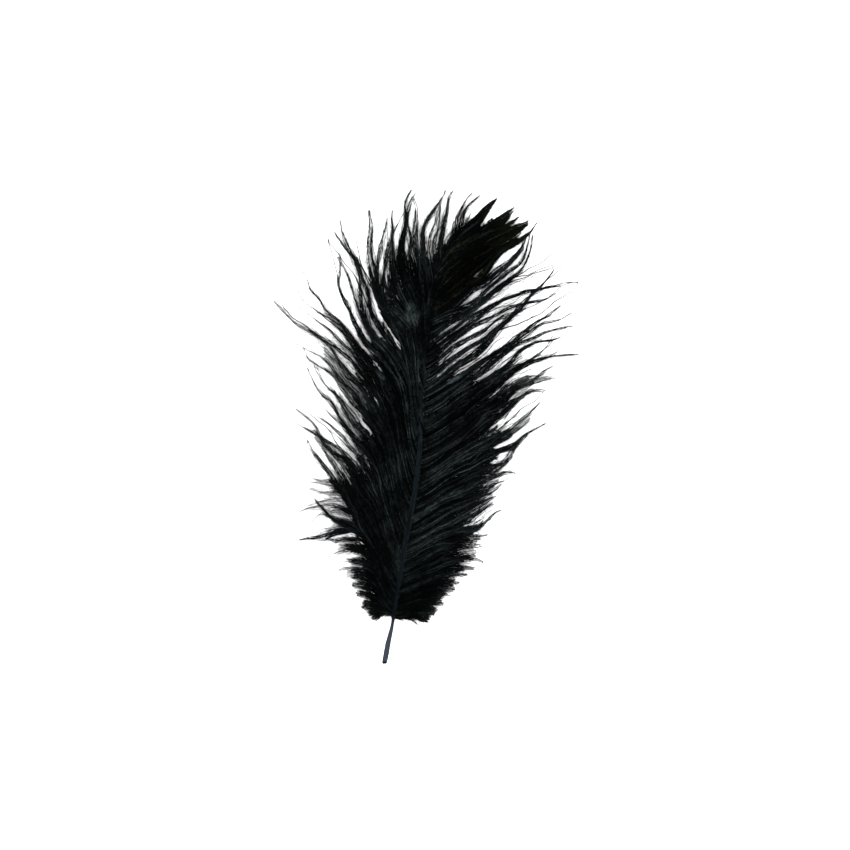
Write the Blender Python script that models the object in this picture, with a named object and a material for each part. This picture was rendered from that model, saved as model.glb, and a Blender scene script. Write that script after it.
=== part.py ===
"""An ostrich feather, dyed black, lying flat: its shaft and its two vanes.

Metres, +Z up, +Y along the feather towards its tip, +X to the right as seen from above.
The origin is on the surface the feather lies on, below the middle of its outline.
Each vane is a plain solid that fills the space its barbs take up, from the shaft out to
the tips of the longest barbs and down to the surface. The fine barbs aren't modelled here.
"""

from math import cos, pi, radians, sin

import bmesh
import bpy
from mathutils import Vector
from mathutils.geometry import interpolate_bezier

MM = 0.001

# Driving dimensions, in millimetres
GAP = 0.3  # between the shaft and each vane, and between the vanes beyond the shaft's tip
RIM = 0.7  # height of a vane at its outer edge
VANE_FALL = 2.5  # how fast a vane thins out from the shaft to its edge
VANE_STEPS = (0.0, 0.08, 0.2, 0.36, 0.58, 1.0)  # where a vane's top is crossed, shaft to edge
QUILL_FLATNESS = 0.84  # height of the shaft's section over its width
CUT_SLANT = 1.6  # how far the cut end runs back across the quill
SHAFT_SIDES = 14
STEPS_PER_SPAN = 5

# The shaft from the cut end to its tip: x and y of its middle, height of its middle, width
SHAFT = (
    (-17.9, -100.0, 0.85, 1.8),
    (-16.3, -91.5, 1.15, 2.3),
    (-14.4, -83.0, 2.6, 1.6),
    (-12.0, -67.0, 4.6, 2.6),
    (-7.6, -41.0, 6.8, 2.9),
    (-3.4, -16.5, 8.3, 2.4),
    (-2.0, 12.5, 9.2, 1.9),
    (0.3, 41.0, 9.4, 1.5),
    (4.0, 64.0, 8.6, 1.1),
    (11.0, 77.5, 7.4, 0.8),
    (21.5, 86.5, 6.0, 0.6),
)
NECK = 2  # the point of SHAFT where the barbs begin
CREST = (34.5, 93.0, 3.2)  # where the line of the shaft, carried on past its tip, leaves the vanes

# Tips of the longest barbs, x and y, from the base of each vane up to the crest
LEFT_TIPS = (
    (-22.6, -81.4),
    (-28.5, -75.0),
    (-36.6, -60.5),
    (-43.8, -56.4),
    (-53.4, -48.2),
    (-53.4, -35.8),
    (-49.8, -21.5),
    (-50.5, -6.8),
    (-58.6, 2.5),
    (-52.8, 22.0),
    (-56.0, 34.6),
    (-64.0, 53.0),
    (-52.6, 65.6),
    (-41.4, 78.8),
    (-35.8, 86.2),
    (-24.4, 90.8),
    (-14.8, 90.8),
    (-7.0, 99.2),
    (9.6, 100.0),
    (18.6, 98.2),
    (28.8, 95.6),
)
RIGHT_TIPS = (
    (0.6, -81.2),
    (4.4, -77.4),
    (10.0, -70.0),
    (16.4, -62.8),
    (24.0, -57.0),
    (26.0, -45.6),
    (30.6, -36.0),
    (36.6, -19.2),
    (43.2, -9.0),
    (50.0, 1.0),
    (52.4, 14.0),
    (56.0, 21.4),
    (64.0, 30.2),
    (58.6, 39.0),
    (63.0, 49.0),
    (63.6, 61.2),
    (53.4, 73.8),
    (46.6, 85.0),
    (41.6, 87.8),
    (37.4, 91.2),
)


def clear_scene():
    for thing in list(bpy.data.objects):
        bpy.data.objects.remove(thing, do_unlink=True)


def material(name, colour, roughness):
    mat = bpy.data.materials.new(name)
    mat.use_nodes = True
    shader = mat.node_tree.nodes["Principled BSDF"]
    shader.inputs["Base Color"].default_value = (*colour, 1.0)
    shader.inputs["Roughness"].default_value = roughness
    shader.inputs["Metallic"].default_value = 0.0
    return mat


def smooth_line(points):
    """A smooth curve through points, as a list with STEPS_PER_SPAN steps from each to the next.

    Each point is (x, y, z, width). Its place runs on Bezier spans whose handles follow the
    line between its neighbours, and its width runs straight from one point to the next.
    """
    places = [Vector(p[:3]) for p in points]
    last = len(places) - 1
    handles = []
    for i, place in enumerate(places):
        along = (places[min(i + 1, last)] - places[max(i - 1, 0)]).normalized()
        before = (place - places[max(i - 1, 0)]).length / 3
        after = (places[min(i + 1, last)] - place).length / 3
        handles.append((place - along * before, place + along * after))
    line = []
    for i in range(last):
        span = interpolate_bezier(
            places[i], handles[i][1], handles[i + 1][0], places[i + 1], STEPS_PER_SPAN + 1
        )
        for j, place in enumerate(span[:-1]):
            share = j / STEPS_PER_SPAN
            line.append((place, points[i][3] * (1 - share) + points[i + 1][3] * share))
    line.append((places[-1], points[-1][3]))
    return line


def sideways(line, i):
    """The level direction across the line at its point i, to the right of its run."""
    ahead, behind = line[min(i + 1, len(line) - 1)][0], line[max(i - 1, 0)][0]
    along = (ahead - behind).normalized()
    return along.cross(Vector((0, 0, 1))).normalized()


def finish(name, bm, mat, sharp_degrees):
    """Turn a bmesh in millimetres into a named object in metres."""
    bmesh.ops.scale(bm, vec=(MM, MM, MM), verts=bm.verts)
    bmesh.ops.recalc_face_normals(bm, faces=bm.faces)
    mesh = bpy.data.meshes.new(name)
    bm.to_mesh(mesh)
    bm.free()
    mesh.materials.append(mat)
    mesh.shade_smooth()
    mesh.set_sharp_from_angle(angle=radians(sharp_degrees))
    obj = bpy.data.objects.new(name, mesh)
    bpy.context.scene.collection.objects.link(obj)
    return obj


def make_shaft(line, mat):
    """The quill and rachis: one tapering rod, slightly flattened, with a slanted cut end."""
    bm = bmesh.new()
    rings = []
    for i, (place, width) in enumerate(line):
        across = sideways(line, i)
        along = Vector((0, 0, 1)).cross(across)
        slant = CUT_SLANT if i == 0 else 0.0
        ring = []
        for k in range(SHAFT_SIDES):
            turn = 2 * pi * k / SHAFT_SIDES
            point = place + across * (width / 2 * cos(turn))
            point += Vector((0, 0, width / 2 * QUILL_FLATNESS * sin(turn)))
            point += along * (slant * (1 + sin(turn)) / 2)
            ring.append(bm.verts.new(point))
        rings.append(ring)
    for lower, upper in zip(rings, rings[1:]):
        for k in range(SHAFT_SIDES):
            n = (k + 1) % SHAFT_SIDES
            bm.faces.new((lower[k], lower[n], upper[n], upper[k]))
    bm.faces.new(rings[0])
    bm.faces.new(rings[-1])
    return finish("shaft", bm, mat, 50)


def vane_root(line, side):
    """The inner edge of a vane: a list of places beside the shaft, at the height of its middle.

    It runs from the neck to the shaft's tip and on to the crest. Side is -1 for the left
    vane and 1 for the right one.
    """
    first = NECK * STEPS_PER_SPAN
    edge = []
    for i in range(first, len(line)):
        place, width = line[i]
        edge.append(place + sideways(line, i) * side * (width / 2 + GAP))
    edge.append(Vector(CREST) + sideways(line, len(line) - 1) * side * GAP / 2)
    return edge


def read_along(edge, share):
    """The place at a share of the length of a polyline, from 0 at its start to 1 at its end."""
    lengths = [(b - a).length for a, b in zip(edge, edge[1:])]
    left = share * sum(lengths)
    for a, b, length in zip(edge, edge[1:], lengths):
        if left <= length:
            return a.lerp(b, left / length)
        left -= length
    return edge[-1].copy()


def is_between(item, verts):
    """Whether item is an edge that joins two of these verts."""
    return isinstance(item, bmesh.types.BMEdge) and all(v in verts for v in item.verts)


def make_vane(name, line, tips, side, mat):
    """One vane: flat below, thickest along the shaft and thin at the tips of the barbs."""
    edge = vane_root(line, side)
    bm = bmesh.new()
    ribs = []
    for i, (x, y) in enumerate(tips):
        root = read_along(edge, i / len(tips))
        rib = []
        for step in VANE_STEPS:
            height = RIM + (root.z - RIM) * (1 - step) ** VANE_FALL
            place = root.lerp(Vector((x, y, 0)), step)
            rib.append(bm.verts.new((place.x, place.y, height)))
        ribs.append(rib)
    for lower, upper in zip(ribs, ribs[1:]):
        for j in range(len(VANE_STEPS) - 1):
            bm.faces.new((lower[j], lower[j + 1], upper[j + 1], upper[j]))
    crest = bm.verts.new(edge[-1])
    bm.faces.new((*ribs[-1], crest))
    outline = [e for e in bm.edges if len(e.link_faces) == 1]
    walls = bmesh.ops.extrude_edge_only(bm, edges=outline)["geom"]
    foot = [item for item in walls if isinstance(item, bmesh.types.BMVert)]
    for vert in foot:
        vert.co.z = 0.0
    bmesh.ops.contextual_create(bm, geom=[item for item in walls if is_between(item, foot)])
    return finish(name, bm, mat, 30)


def main():
    clear_scene()
    line = smooth_line(SHAFT)
    make_shaft(line, material("shaft_keratin", (0.020, 0.024, 0.031), 0.42))
    barbs = material("barbs", (0.009, 0.010, 0.012), 0.6)
    make_vane("left_vane", line, LEFT_TIPS, -1, barbs)
    make_vane("right_vane", line, RIGHT_TIPS, 1, barbs)


main()
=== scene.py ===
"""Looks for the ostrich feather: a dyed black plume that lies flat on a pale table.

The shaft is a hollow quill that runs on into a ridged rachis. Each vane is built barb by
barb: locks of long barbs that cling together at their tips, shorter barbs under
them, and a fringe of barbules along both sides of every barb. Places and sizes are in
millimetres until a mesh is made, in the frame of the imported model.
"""

import logging
import math
from dataclasses import dataclass, field, replace
from enum import Enum

import bpy
import numpy as np
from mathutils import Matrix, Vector
from mathutils.geometry import interpolate_bezier


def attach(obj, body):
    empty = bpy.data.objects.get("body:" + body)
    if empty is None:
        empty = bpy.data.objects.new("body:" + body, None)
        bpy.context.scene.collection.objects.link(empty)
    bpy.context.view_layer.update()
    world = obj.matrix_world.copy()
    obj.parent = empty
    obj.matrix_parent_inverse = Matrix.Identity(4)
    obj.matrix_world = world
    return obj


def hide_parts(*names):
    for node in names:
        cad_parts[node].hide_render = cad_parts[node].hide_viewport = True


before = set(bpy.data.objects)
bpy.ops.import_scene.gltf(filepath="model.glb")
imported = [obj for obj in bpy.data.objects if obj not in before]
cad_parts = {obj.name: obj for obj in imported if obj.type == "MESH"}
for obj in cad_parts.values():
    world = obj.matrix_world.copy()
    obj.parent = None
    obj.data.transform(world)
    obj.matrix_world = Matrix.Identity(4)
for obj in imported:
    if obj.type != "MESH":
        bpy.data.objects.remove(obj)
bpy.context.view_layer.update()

MM = 0.001
UP = np.array((0.0, 0.0, 1.0))
LOG = logging.getLogger("feather")
Color = tuple[float, float, float]

SPAN_STEPS = 12  # pieces of a smooth curve between two given points
CURVE_POINTS = 40  # along the course of each barb while it is drawn
POINT_SPACING = 2.6  # between the places where a finished barb may bend
UV_NAME = "OFBake"
FLOOR_CLEARANCE = 0.12  # no barb or barbule hangs lower than this
FEATHER_SEED = 20


class Side(Enum):
    """The side of the shaft that a barb grows from, as a sign along X."""

    LEFT = -1
    RIGHT = 1


@dataclass(frozen=True)
class Fringe:
    """How barbules stand along a barb.

    Fields: pitch is the distance between barbules on one side, length that of the longest,
    lean the angle in degrees from the barb, width that at the middle of a barbule, roll how
    far they turn out of the vane's plane in degrees, core the barb's own thickness, waver
    how far the barb strays from its course, inner how many times further apart barbules
    stand in the thick of the vane, loose the share of barbules that stand off, and fining
    how much of its thickness a barb loses towards its tip.
    """

    pitch: float
    length: float
    lean: float
    width: float
    roll: float
    core: float
    waver: float = 0.75
    inner: float = 3.6
    loose: float = 0.4
    fining: float = 0.6


class Build(Enum):
    """The kinds of barb on this plume, each with its fringe."""

    # The long barbs of the outer locks, and the same where they lie combed
    STRAND = Fringe(
        pitch=0.43, length=2.7, lean=15.5, width=0.19, roll=30.0, core=0.40, loose=0.5, fining=0.5)
    SLEEK = Fringe(
        pitch=0.43, length=2.5, lean=14.0, width=0.19, roll=30.0, core=0.42, loose=0.22, fining=0.5)
    # Fluffy barbs above the down and beside the shaft
    FUZZY = Fringe(pitch=0.40, length=2.8, lean=27.0, width=0.16, roll=40.0, core=0.34, loose=0.55)
    # A barb that stands alone
    HAIR = Fringe(
        pitch=0.48, length=1.7, lean=12.0, width=0.15, roll=40.0, core=0.62, waver=0.9, loose=0.2,
        fining=0.45)
    # The down at the base
    DOWN = Fringe(
        pitch=0.30, length=2.6, lean=32.0, width=0.17, roll=45.0, core=0.42, loose=0.5, fining=0.5)
    # Barbs stuck together, at the tip
    MATTED = Fringe(
        pitch=0.42, length=2.8, lean=11.0, width=0.32, roll=30.0, core=0.36, waver=0.25, loose=0.25)
    # Broad short barbs that close the middle of the vane from below
    UNDER = Fringe(
        pitch=1.00, length=5.6, lean=16.0, width=1.20, roll=14.0, core=0.85, inner=1.0, loose=0.0,
        fining=0.92)
    # Fine barbs that stray between the locks, and hazier ones lower down
    WISP = Fringe(
        pitch=0.66, length=2.0, lean=14.0, width=0.12, roll=40.0, core=0.26, waver=1.4, inner=6.0,
        loose=0.4)
    HAZE = Fringe(
        pitch=0.50, length=3.3, lean=27.0, width=0.10, roll=42.0, core=0.24, waver=1.5, inner=9.0,
        loose=0.6)


@dataclass(frozen=True)
class Lock:
    """A lock of barbs that leave the shaft side by side and meet at one tip.

    Fields: root is the Y where its middle barb leaves the shaft, path the places it passes
    with its tip last, barbs how many it has, spread its half width before the tip, splay
    its half width at the tip, build the kind of its barbs, and over is true for a lock that
    starts beyond the shaft and passes over it.
    """

    root: float
    path: tuple[tuple[float, float], ...]
    barbs: int = 3
    spread: float = 1.1
    splay: float = 0.3
    build: Build = Build.STRAND
    over: bool = False


# The shaft from its cut end to its tip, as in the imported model: x, y, height, width
SHAFT_LINE = (
    (-17.9, -100.0, 0.95, 2.1),
    (-17.1, -96.0, 1.05, 2.35),
    (-16.3, -91.5, 1.2, 2.25),
    (-14.4, -83.0, 2.6, 1.35),
    (-12.0, -67.0, 4.6, 2.3),
    (-7.6, -41.0, 6.8, 2.9),
    (-3.4, -16.5, 8.3, 2.4),
    (-2.0, 12.5, 9.2, 1.9),
    (0.3, 41.0, 9.4, 1.5),
    (4.0, 64.0, 8.6, 1.1),
    (11.0, 77.5, 7.4, 0.8),
    (21.5, 86.5, 6.0, 0.6),
)

# How far out the vane hides the table, as pairs of root Y and share of a barb's length
FULL_TO = {
    Side.LEFT: (
        (-83, 0.84), (-76, 0.84), (-73, 0.82), (-68, 0.74), (-62, 0.67), (-55, 0.63), (-40, 0.64),
        (-25, 0.62), (-8, 0.60), (-3, 0.64), (1, 0.80), (4, 0.80), (8, 0.64), (14, 0.66),
        (30, 0.64), (45, 0.54), (62, 0.50), (64, 0.85), (80, 0.85),
    ),
    Side.RIGHT: (
        (-83, 0.86), (-60, 0.79), (-45, 0.80), (-20, 0.75), (-8, 0.66), (6, 0.42), (14, 0.24),
        (24, 0.12), (36, 0.08), (44, 0.16), (51, 0.34), (53, 0.80), (80, 0.85),
    ),
}

# Lighter patches of painted sheen and thinner dye, as middle x and y, half width, half length, and lean
# in degrees
PALE_SPOTS = (
    (-5.7, 47.4, 4.8, 8.0, 6.0),
    (-19.6, 22.5, 1.8, 4.6, 39.0),
    (11.8, 20.2, 1.6, 5.6, -62.0),
)

# The locks of each stretch, from the base up, with the places that each one passes

LEFT_BASE = (
    Lock(-79, ((-17.3, -77.9), (-20, -79.3), (-22.4, -80.7)), 7, 0.8, 0.7, Build.DOWN),
    Lock(-78.6, ((-19, -77.5), (-24.8, -78.6)), 7, 1.1, 1.1, Build.DOWN),
    Lock(-78.3, ((-20, -76.2), (-28, -75.8)), 7, 1.4, 1.2, Build.DOWN),
    Lock(-77.8, ((-21, -72), (-29, -70)), 6, 1.6, 1.4, Build.DOWN),
    Lock(-77.2, ((-22, -68), (-31, -66.5)), 6, 1.6, 1.4, Build.DOWN),
    Lock(-76.1, ((-24, -63.5), (-33, -62.5)), 6, 1.6, 1.4, Build.DOWN),
    Lock(-75, ((-28, -59.5), (-36.5, -60.5)), 3, 1.0, 0.5, Build.DOWN),
    Lock(-74.1, ((-27, -57), (-34.5, -57)), 5, 1.6, 1.2, Build.DOWN),
    Lock(-73.2, ((-29, -51.5), (-38.5, -53.5), (-43.5, -56)), 3, 0.9, 0.3, Build.FUZZY),
    Lock(-72.8, ((-26, -53), (-33, -51), (-37.5, -51)), 5, 1.4, 1.2, Build.FUZZY),
    Lock(-72.4, ((-31, -47.5), (-40, -47.5), (-45, -48.5)), 5, 1.2, 0.6, Build.FUZZY),
    Lock(-71.8, ((-30, -42.5), (-37, -43.5), (-48.5, -47), (-53, -48)), 4, 0.8, 0.2),
    Lock(-71.3, ((-31, -40.5), (-40.5, -42.5), (-47.5, -44.5)), 5, 1.3, 0.9, Build.FUZZY),
    Lock(-70.8, ((-25, -47), (-33.5, -41.5), (-39, -39), (-44, -35), (-47, -31)), 6, 0.9, 0.3),
    Lock(-70.6, ((-25, -46), (-32.5, -41.5), (-38.5, -40)), 6, 1.4, 1.1, Build.FUZZY),
    Lock(-70.3, ((-29, -42), (-39.5, -38), (-45, -36.5), (-48.5, -39.5)), 4, 0.9, 0.4, Build.FUZZY),
    Lock(-69.8, ((-27, -38), (-34, -33.5), (-41, -32.5), (-49, -34.5), (-53, -35.5)), 2, 0.5, 0.1),
    Lock(-69.5, ((-24, -42), (-30.5, -37), (-36.5, -34.7), (-41.5, -35.3)), 7, 1.5, 1.1, Build.FUZZY),
    Lock(-69.2, ((-26, -38), (-31, -33), (-37, -30.5), (-44, -31.5),
         (-49.5, -32.5)), 4, 1.1, 0.4, Build.FUZZY),
    Lock(-68.6, ((-26, -35), (-33, -29), (-39, -27.5), (-45, -26.5),
         (-49.5, -26)), 5, 1.3, 0.9, Build.FUZZY),
    Lock(-68, ((-25, -34), (-31, -28), (-38, -25), (-48.5, -24)), 4, 1.1, 0.6, Build.FUZZY),
    Lock(-67.8, ((-23, -36), (-28.5, -29.5), (-34.5, -26.5), (-40, -25.5)), 5, 1.4, 1.1, Build.FUZZY),
    Lock(-67.4, ((-24, -34), (-29, -28), (-35, -24.5), (-41.5, -22.5),
         (-50, -21.5)), 3, 0.9, 0.3, Build.FUZZY),
)

LEFT_LOWER = (
    Lock(-66.5, ((-30, -36), (-38.5, -22.5), (-43.5, -16.5), (-48, -10.5), (-49.5, -6)), 5, 1.5, 0.3),
    Lock(-65, ((-28, -34), (-36.5, -20), (-42.5, -11.5), (-46.5, -5)), 4, 1.4, 0.4),
    Lock(-63, ((-27, -31), (-35, -17), (-41, -8.5), (-47, -1.5)), 3, 1.2, 0.3),
    Lock(-61, ((-26, -27), (-40.5, -6), (-47.5, -3), (-52.5, 0), (-58.5, 3)), 3, 0.8, 0.15),
    Lock(-59, ((-25, -25), (-35.5, -12.5), (-42, -8.5), (-45.5, -3), (-48.5, 2),
         (-55, 7.5)), 3, 0.9, 0.2),
    Lock(-57, ((-24, -22), (-38.5, -5.5), (-46, 3), (-50.5, 7)), 1, 0.6, 0.2, Build.HAIR),
    Lock(-56, ((-24, -20), (-36, -4), (-42, 1), (-46.5, 5.5)), 3, 1.1, 0.4),
    Lock(-54, ((-23, -17), (-33, -2), (-37.5, 3), (-42, 7.5)), 3, 1.2, 0.4),
    Lock(-51, ((-23, -13), (-36, 3), (-40, 9.5), (-44.5, 14.5), (-47.5, 19.5), (-50, 24.5)), 4, 1.1, 0.2),
    Lock(-48.5, ((-22, -11), (-31.5, 3), (-36, 9), (-39, 14.5)), 4, 1.3, 0.6),
    Lock(-46, ((-22, -8), (-35, 10), (-40, 15.5), (-44.5, 20.5), (-47, 26)), 3, 0.9, 0.2),
    Lock(-42.5, ((-21, -3), (-33, 13), (-41.5, 23.5), (-48.5, 28.5), (-52, 33)), 3, 0.9, 0.2),
    Lock(-40, ((-20, 0), (-32, 16), (-38.5, 22), (-41.5, 27.5), (-51, 33.5), (-55.5, 35)), 3, 0.9, 0.2),
    Lock(-37.5, ((-19, 2), (-27.5, 15), (-33, 21), (-38, 28), (-43, 33)), 3, 1.0, 0.5),
    Lock(-35.5, ((-19, 4), (-31.5, 21.5), (-36, 27.5), (-40, 33.5), (-44.5, 37.5),
         (-49.5, 41)), 4, 0.9, 0.2),
    Lock(-33, ((-18, 8), (-34, 30.5), (-43.5, 37), (-51.5, 41.5), (-57.5, 46.5), (-64, 53)), 2, 0.6, 0.2),
    Lock(-31.5, ((-18, 9), (-35, 31.5), (-51.5, 42.5), (-57.5, 47.5),
         (-60.5, 52)), 1, 0.5, 0.2, Build.HAIR),
    Lock(-30.5, ((-18, 11), (-31.5, 31), (-37, 37.5), (-42, 42.5), (-50.5, 47.5),
         (-54.5, 51)), 3, 0.8, 0.2),
    Lock(-27.5, ((-17, 15), (-28.5, 32), (-34.5, 40), (-39.5, 45), (-45.5, 48.5)), 6, 1.9, 1.3),
    Lock(-25.5, ((-16, 17), (-33, 38.5), (-40.5, 44.5), (-51, 52.5), (-53.5, 56),
         (-54.5, 61)), 1, 0.5, 0.2, Build.HAIR),
    Lock(-24, ((-16, 17), (-27.5, 32), (-32.5, 38.5), (-36.5, 44), (-42, 49), (-45.5, 55), (-48.5, 58),
         (-50, 62.5), (-54, 67)), 3, 0.6, 0.15),
)

LEFT_UPPER = (
    Lock(-20.5, ((-15, 20), (-23.5, 33), (-28.5, 40), (-32, 47.5)), 4, 1.3, 0.6),
    Lock(-18, ((-14, 22), (-26, 36.5), (-30, 43), (-33, 50), (-35.5, 55), (-36.7, 61), (-36.5, 70),
         (-37.5, 76)), 3, 0.6, 0.15),
    Lock(-16.5, ((-14, 25), (-28, 41), (-35.5, 55.5), (-38.5, 65.5), (-40, 73.5),
         (-41, 79.5)), 1, 0.5, 0.2, Build.HAIR),
    Lock(-14.5, ((-13, 26), (-23.5, 39), (-26.5, 45), (-29, 51.5), (-31.5, 57), (-33, 63),
         (-37, 71.5)), 4, 0.7, 0.15),
    Lock(-12, ((-12, 30), (-22, 47), (-29.5, 61.5), (-34.5, 69.5), (-41, 79.5)), 1, 0.5, 0.2, Build.HAIR),
    Lock(-9.5, ((-12, 28), (-22, 37.5), (-25.5, 43.5), (-27.3, 53), (-28, 62), (-29.5, 68), (-34, 78),
         (-36, 87.5)), 4, 0.8, 0.15),
    Lock(-7, ((-11, 30), (-20.5, 42), (-23, 48.5), (-25, 59), (-28.5, 65.5), (-29.5, 70.5),
         (-32.5, 74), (-38.5, 82.5)), 5, 0.8, 0.15),
    Lock(-4, ((-10, 34), (-19.5, 52), (-24.5, 62), (-28.5, 71), (-28.5, 76.5), (-29.5, 80.5),
         (-32, 84)), 1, 0.5, 0.2, Build.HAIR),
    Lock(-1, ((-10, 34), (-18, 47), (-23, 59.5), (-29, 71.5)), 1, 0.5, 0.2, Build.HAIR),
    Lock(2, ((-9, 35), (-15.5, 45), (-19.5, 52.5), (-21.5, 58)), 4, 1.2, 0.6),
    Lock(4, ((-9, 36), (-18, 49), (-22, 59), (-23.3, 66), (-25.2, 73), (-25.2, 78.5), (-24.3, 85),
         (-24, 91)), 2, 0.6, 0.1),
    Lock(7, ((-8, 38), (-16.5, 47), (-20, 55), (-21, 62), (-22, 69), (-23.3, 76), (-23.3, 83),
         (-24, 91)), 4, 0.8, 0.1),
    Lock(10, ((-9, 39), (-17.5, 53), (-20.8, 62), (-20.8, 70), (-18.5, 79), (-17, 85.5),
         (-16.6, 88.5)), 3, 0.5, 0.1),
    Lock(14, ((-7, 42), (-15.5, 51.5), (-18.5, 59), (-18.2, 66), (-17.2, 73.5), (-16, 80),
         (-16.5, 86)), 5, 1.1, 0.2),
    Lock(19, ((-6, 45), (-14, 57), (-15.5, 66), (-15, 74), (-14.3, 81), (-12.5, 86),
         (-9.5, 91.5)), 3, 0.7, 0.15),
)

LEFT_TOP = (
    Lock(23, ((-5, 47), (-11, 56), (-13, 65.5), (-13.6, 72), (-14.6, 79), (-15, 85),
         (-14.6, 91)), 6, 1.1, 0.15),
    Lock(27, ((-4, 48), (-8.5, 57), (-10.5, 65), (-12, 72)), 4, 1.2, 0.7),
    Lock(30, ((-3.5, 50), (-9.5, 61), (-11.3, 71), (-10.5, 80), (-9.2, 87), (-9.5, 93), (-8.5, 96.5),
         (-6.7, 99.6)), 6, 1.1, 0.15),
    Lock(33.5, ((-2.5, 52), (-8, 64), (-9.5, 75), (-9, 86), (-8.5, 90.5), (-6.5, 95),
         (-4, 99.4)), 5, 1.0, 0.15),
    Lock(37, ((-1.5, 54), (-4.5, 63), (-6, 70.5), (-6.7, 80), (-8.2, 86), (-8.5, 90)), 4, 1.1, 0.3),
    Lock(40.5, ((-0.5, 58), (-2.5, 68), (-4, 76.5), (-4, 82), (-3.5, 87.5), (-4.2, 92),
         (-5.5, 95.5)), 2, 0.6, 0.2),
    Lock(43, ((0.5, 58), (-1.8, 66), (-4.5, 75), (-5.3, 84), (-5, 91)), 3, 0.9, 0.3),
    Lock(46, ((1, 61), (-0.7, 70), (-1.4, 77), (-0.8, 84), (1, 89.5), (4.5, 94.3),
         (7.3, 99.8)), 6, 1.1, 0.15),
    Lock(48.5, ((2, 63), (1, 72), (1.8, 80), (3.3, 87), (5.2, 92)), 2, 0.6, 0.2),
    Lock(50.5, ((3, 63), (3.3, 74), (4.4, 81), (5.4, 88), (5.2, 93.5)), 2, 0.6, 0.15),
    Lock(53.5, ((3.8, 64), (5.4, 71.5), (6.4, 78.5), (7.5, 85.5), (8.1, 91), (9, 96.5),
         (11, 99.8)), 5, 0.9, 0.25),
    Lock(57, ((5, 66), (7.6, 73.5), (10, 80), (12.4, 86), (15, 92.5), (18.6, 98.6)), 4, 0.9, 0.15),
    Lock(60.5, ((7, 68), (10.5, 76), (13, 83), (15.5, 89), (18, 93.5), (22, 97.5)), 4, 0.8, 0.15),
    Lock(62.5, ((8.5, 69.5), (13, 79.5), (16, 86.5), (18.6, 91)), 3, 1.0, 0.3),
)

CREST_LEFT = (
    Lock(-2, ((-3.8, 8), (-8, 20), (-14, 31)), 1, 0.9, 0.9, Build.HAIR, True),
    Lock(6, ((-3.2, 14), (-7, 26), (-12, 35)), 1, 0.9, 0.9, Build.HAIR, True),
    Lock(11, ((-2.8, 20), (-6.5, 32), (-11, 42)), 2, 1.0, 1.0, Build.FUZZY, True),
    Lock(16, ((-2.6, 25), (-6, 37), (-10, 48)), 4, 1.0, 1.0, Build.FUZZY, True),
    Lock(22, ((-2.2, 31), (-5, 43), (-8, 54)), 4, 1.0, 1.0, Build.FUZZY, True),
    Lock(28, ((-1.8, 38), (-3.5, 49), (-5.5, 60)), 4, 1.0, 1.0, Build.FUZZY, True),
    Lock(34, ((-1.0, 44), (-2, 55), (-2.5, 66)), 4, 1.0, 0.9, Build.FUZZY, True),
    Lock(41, ((0, 51), (0.5, 61), (1.5, 71)), 4, 1.0, 0.8, Build.FUZZY, True),
    Lock(49, ((1.8, 59), (3.8, 68), (6.5, 76)), 4, 0.9, 0.7, Build.MATTED, True),
    Lock(57, ((4.0, 66), (8.0, 74), (13, 81)), 4, 0.9, 0.6, Build.MATTED, True),
    Lock(65, ((7.5, 73), (14, 80.5), (21, 86)), 4, 0.9, 0.6, Build.MATTED, True),
)

CREST_RIGHT = (
    Lock(-5, ((0, 6), (5, 16), (12, 25)), 1, 0.9, 0.9, Build.HAIR, True),
    Lock(3, ((0.5, 14), (5, 24), (11, 32)), 1, 0.9, 0.9, Build.HAIR, True),
    Lock(9, ((0.8, 20), (5.5, 30), (9.5, 36)), 2, 1.0, 0.8, Build.FUZZY, True),
    Lock(14, ((1.0, 26), (4.5, 33.5), (8, 39)), 3, 1.0, 0.7, Build.FUZZY, True),
    Lock(19, ((1.2, 31), (3.9, 37), (6.8, 42.0)), 2, 1.0, 0.6, Build.FUZZY, True),
    Lock(25, ((1.6, 37), (4.0, 42.5), (6.8, 47.5)), 2, 1.0, 0.6, Build.FUZZY, True),
    Lock(31, ((2.2, 43), (5.0, 49.5), (8.5, 55)), 3, 0.9, 0.7, Build.MATTED, True),
    Lock(37, ((3.0, 49), (8, 58.5), (15, 66)), 4, 1.0, 1.0, Build.MATTED, True),
    Lock(44, ((4.4, 56), (10, 65), (18, 72)), 4, 1.0, 0.9, Build.MATTED, True),
    Lock(51, ((6.5, 63), (13, 71), (22, 77.5)), 4, 1.0, 0.9, Build.MATTED, True),
    Lock(58, ((9.5, 69.5), (17, 76.5), (27, 82)), 4, 1.0, 0.9, Build.MATTED, True),
)

TIP_LEFT = (
    Lock(64, ((8, 70.5), (12, 77), (16.6, 83), (20.2, 87.6), (24, 91.9),
         (28.8, 96)), 7, 1.1, 0.1, Build.MATTED),
    Lock(67, ((9.5, 71.5), (14.5, 77), (19.3, 82.6), (22.6, 87), (25.8, 91.4),
         (29, 95.7)), 7, 1.1, 0.1, Build.MATTED),
    Lock(71, ((12, 75), (18.5, 79.5), (25.2, 84.4), (30.6, 88),
         (36.2, 92.3)), 9, 1.3, 0.15, Build.MATTED),
    Lock(75, ((15, 77), (21, 80.5), (27, 84), (31.3, 86.6), (35.3, 90.5)), 8, 1.4, 0.4, Build.MATTED),
    Lock(80, ((20, 79.5), (26, 81.5), (31, 83.6), (36.5, 87.3)), 8, 1.4, 0.7, Build.MATTED),
)

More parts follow.
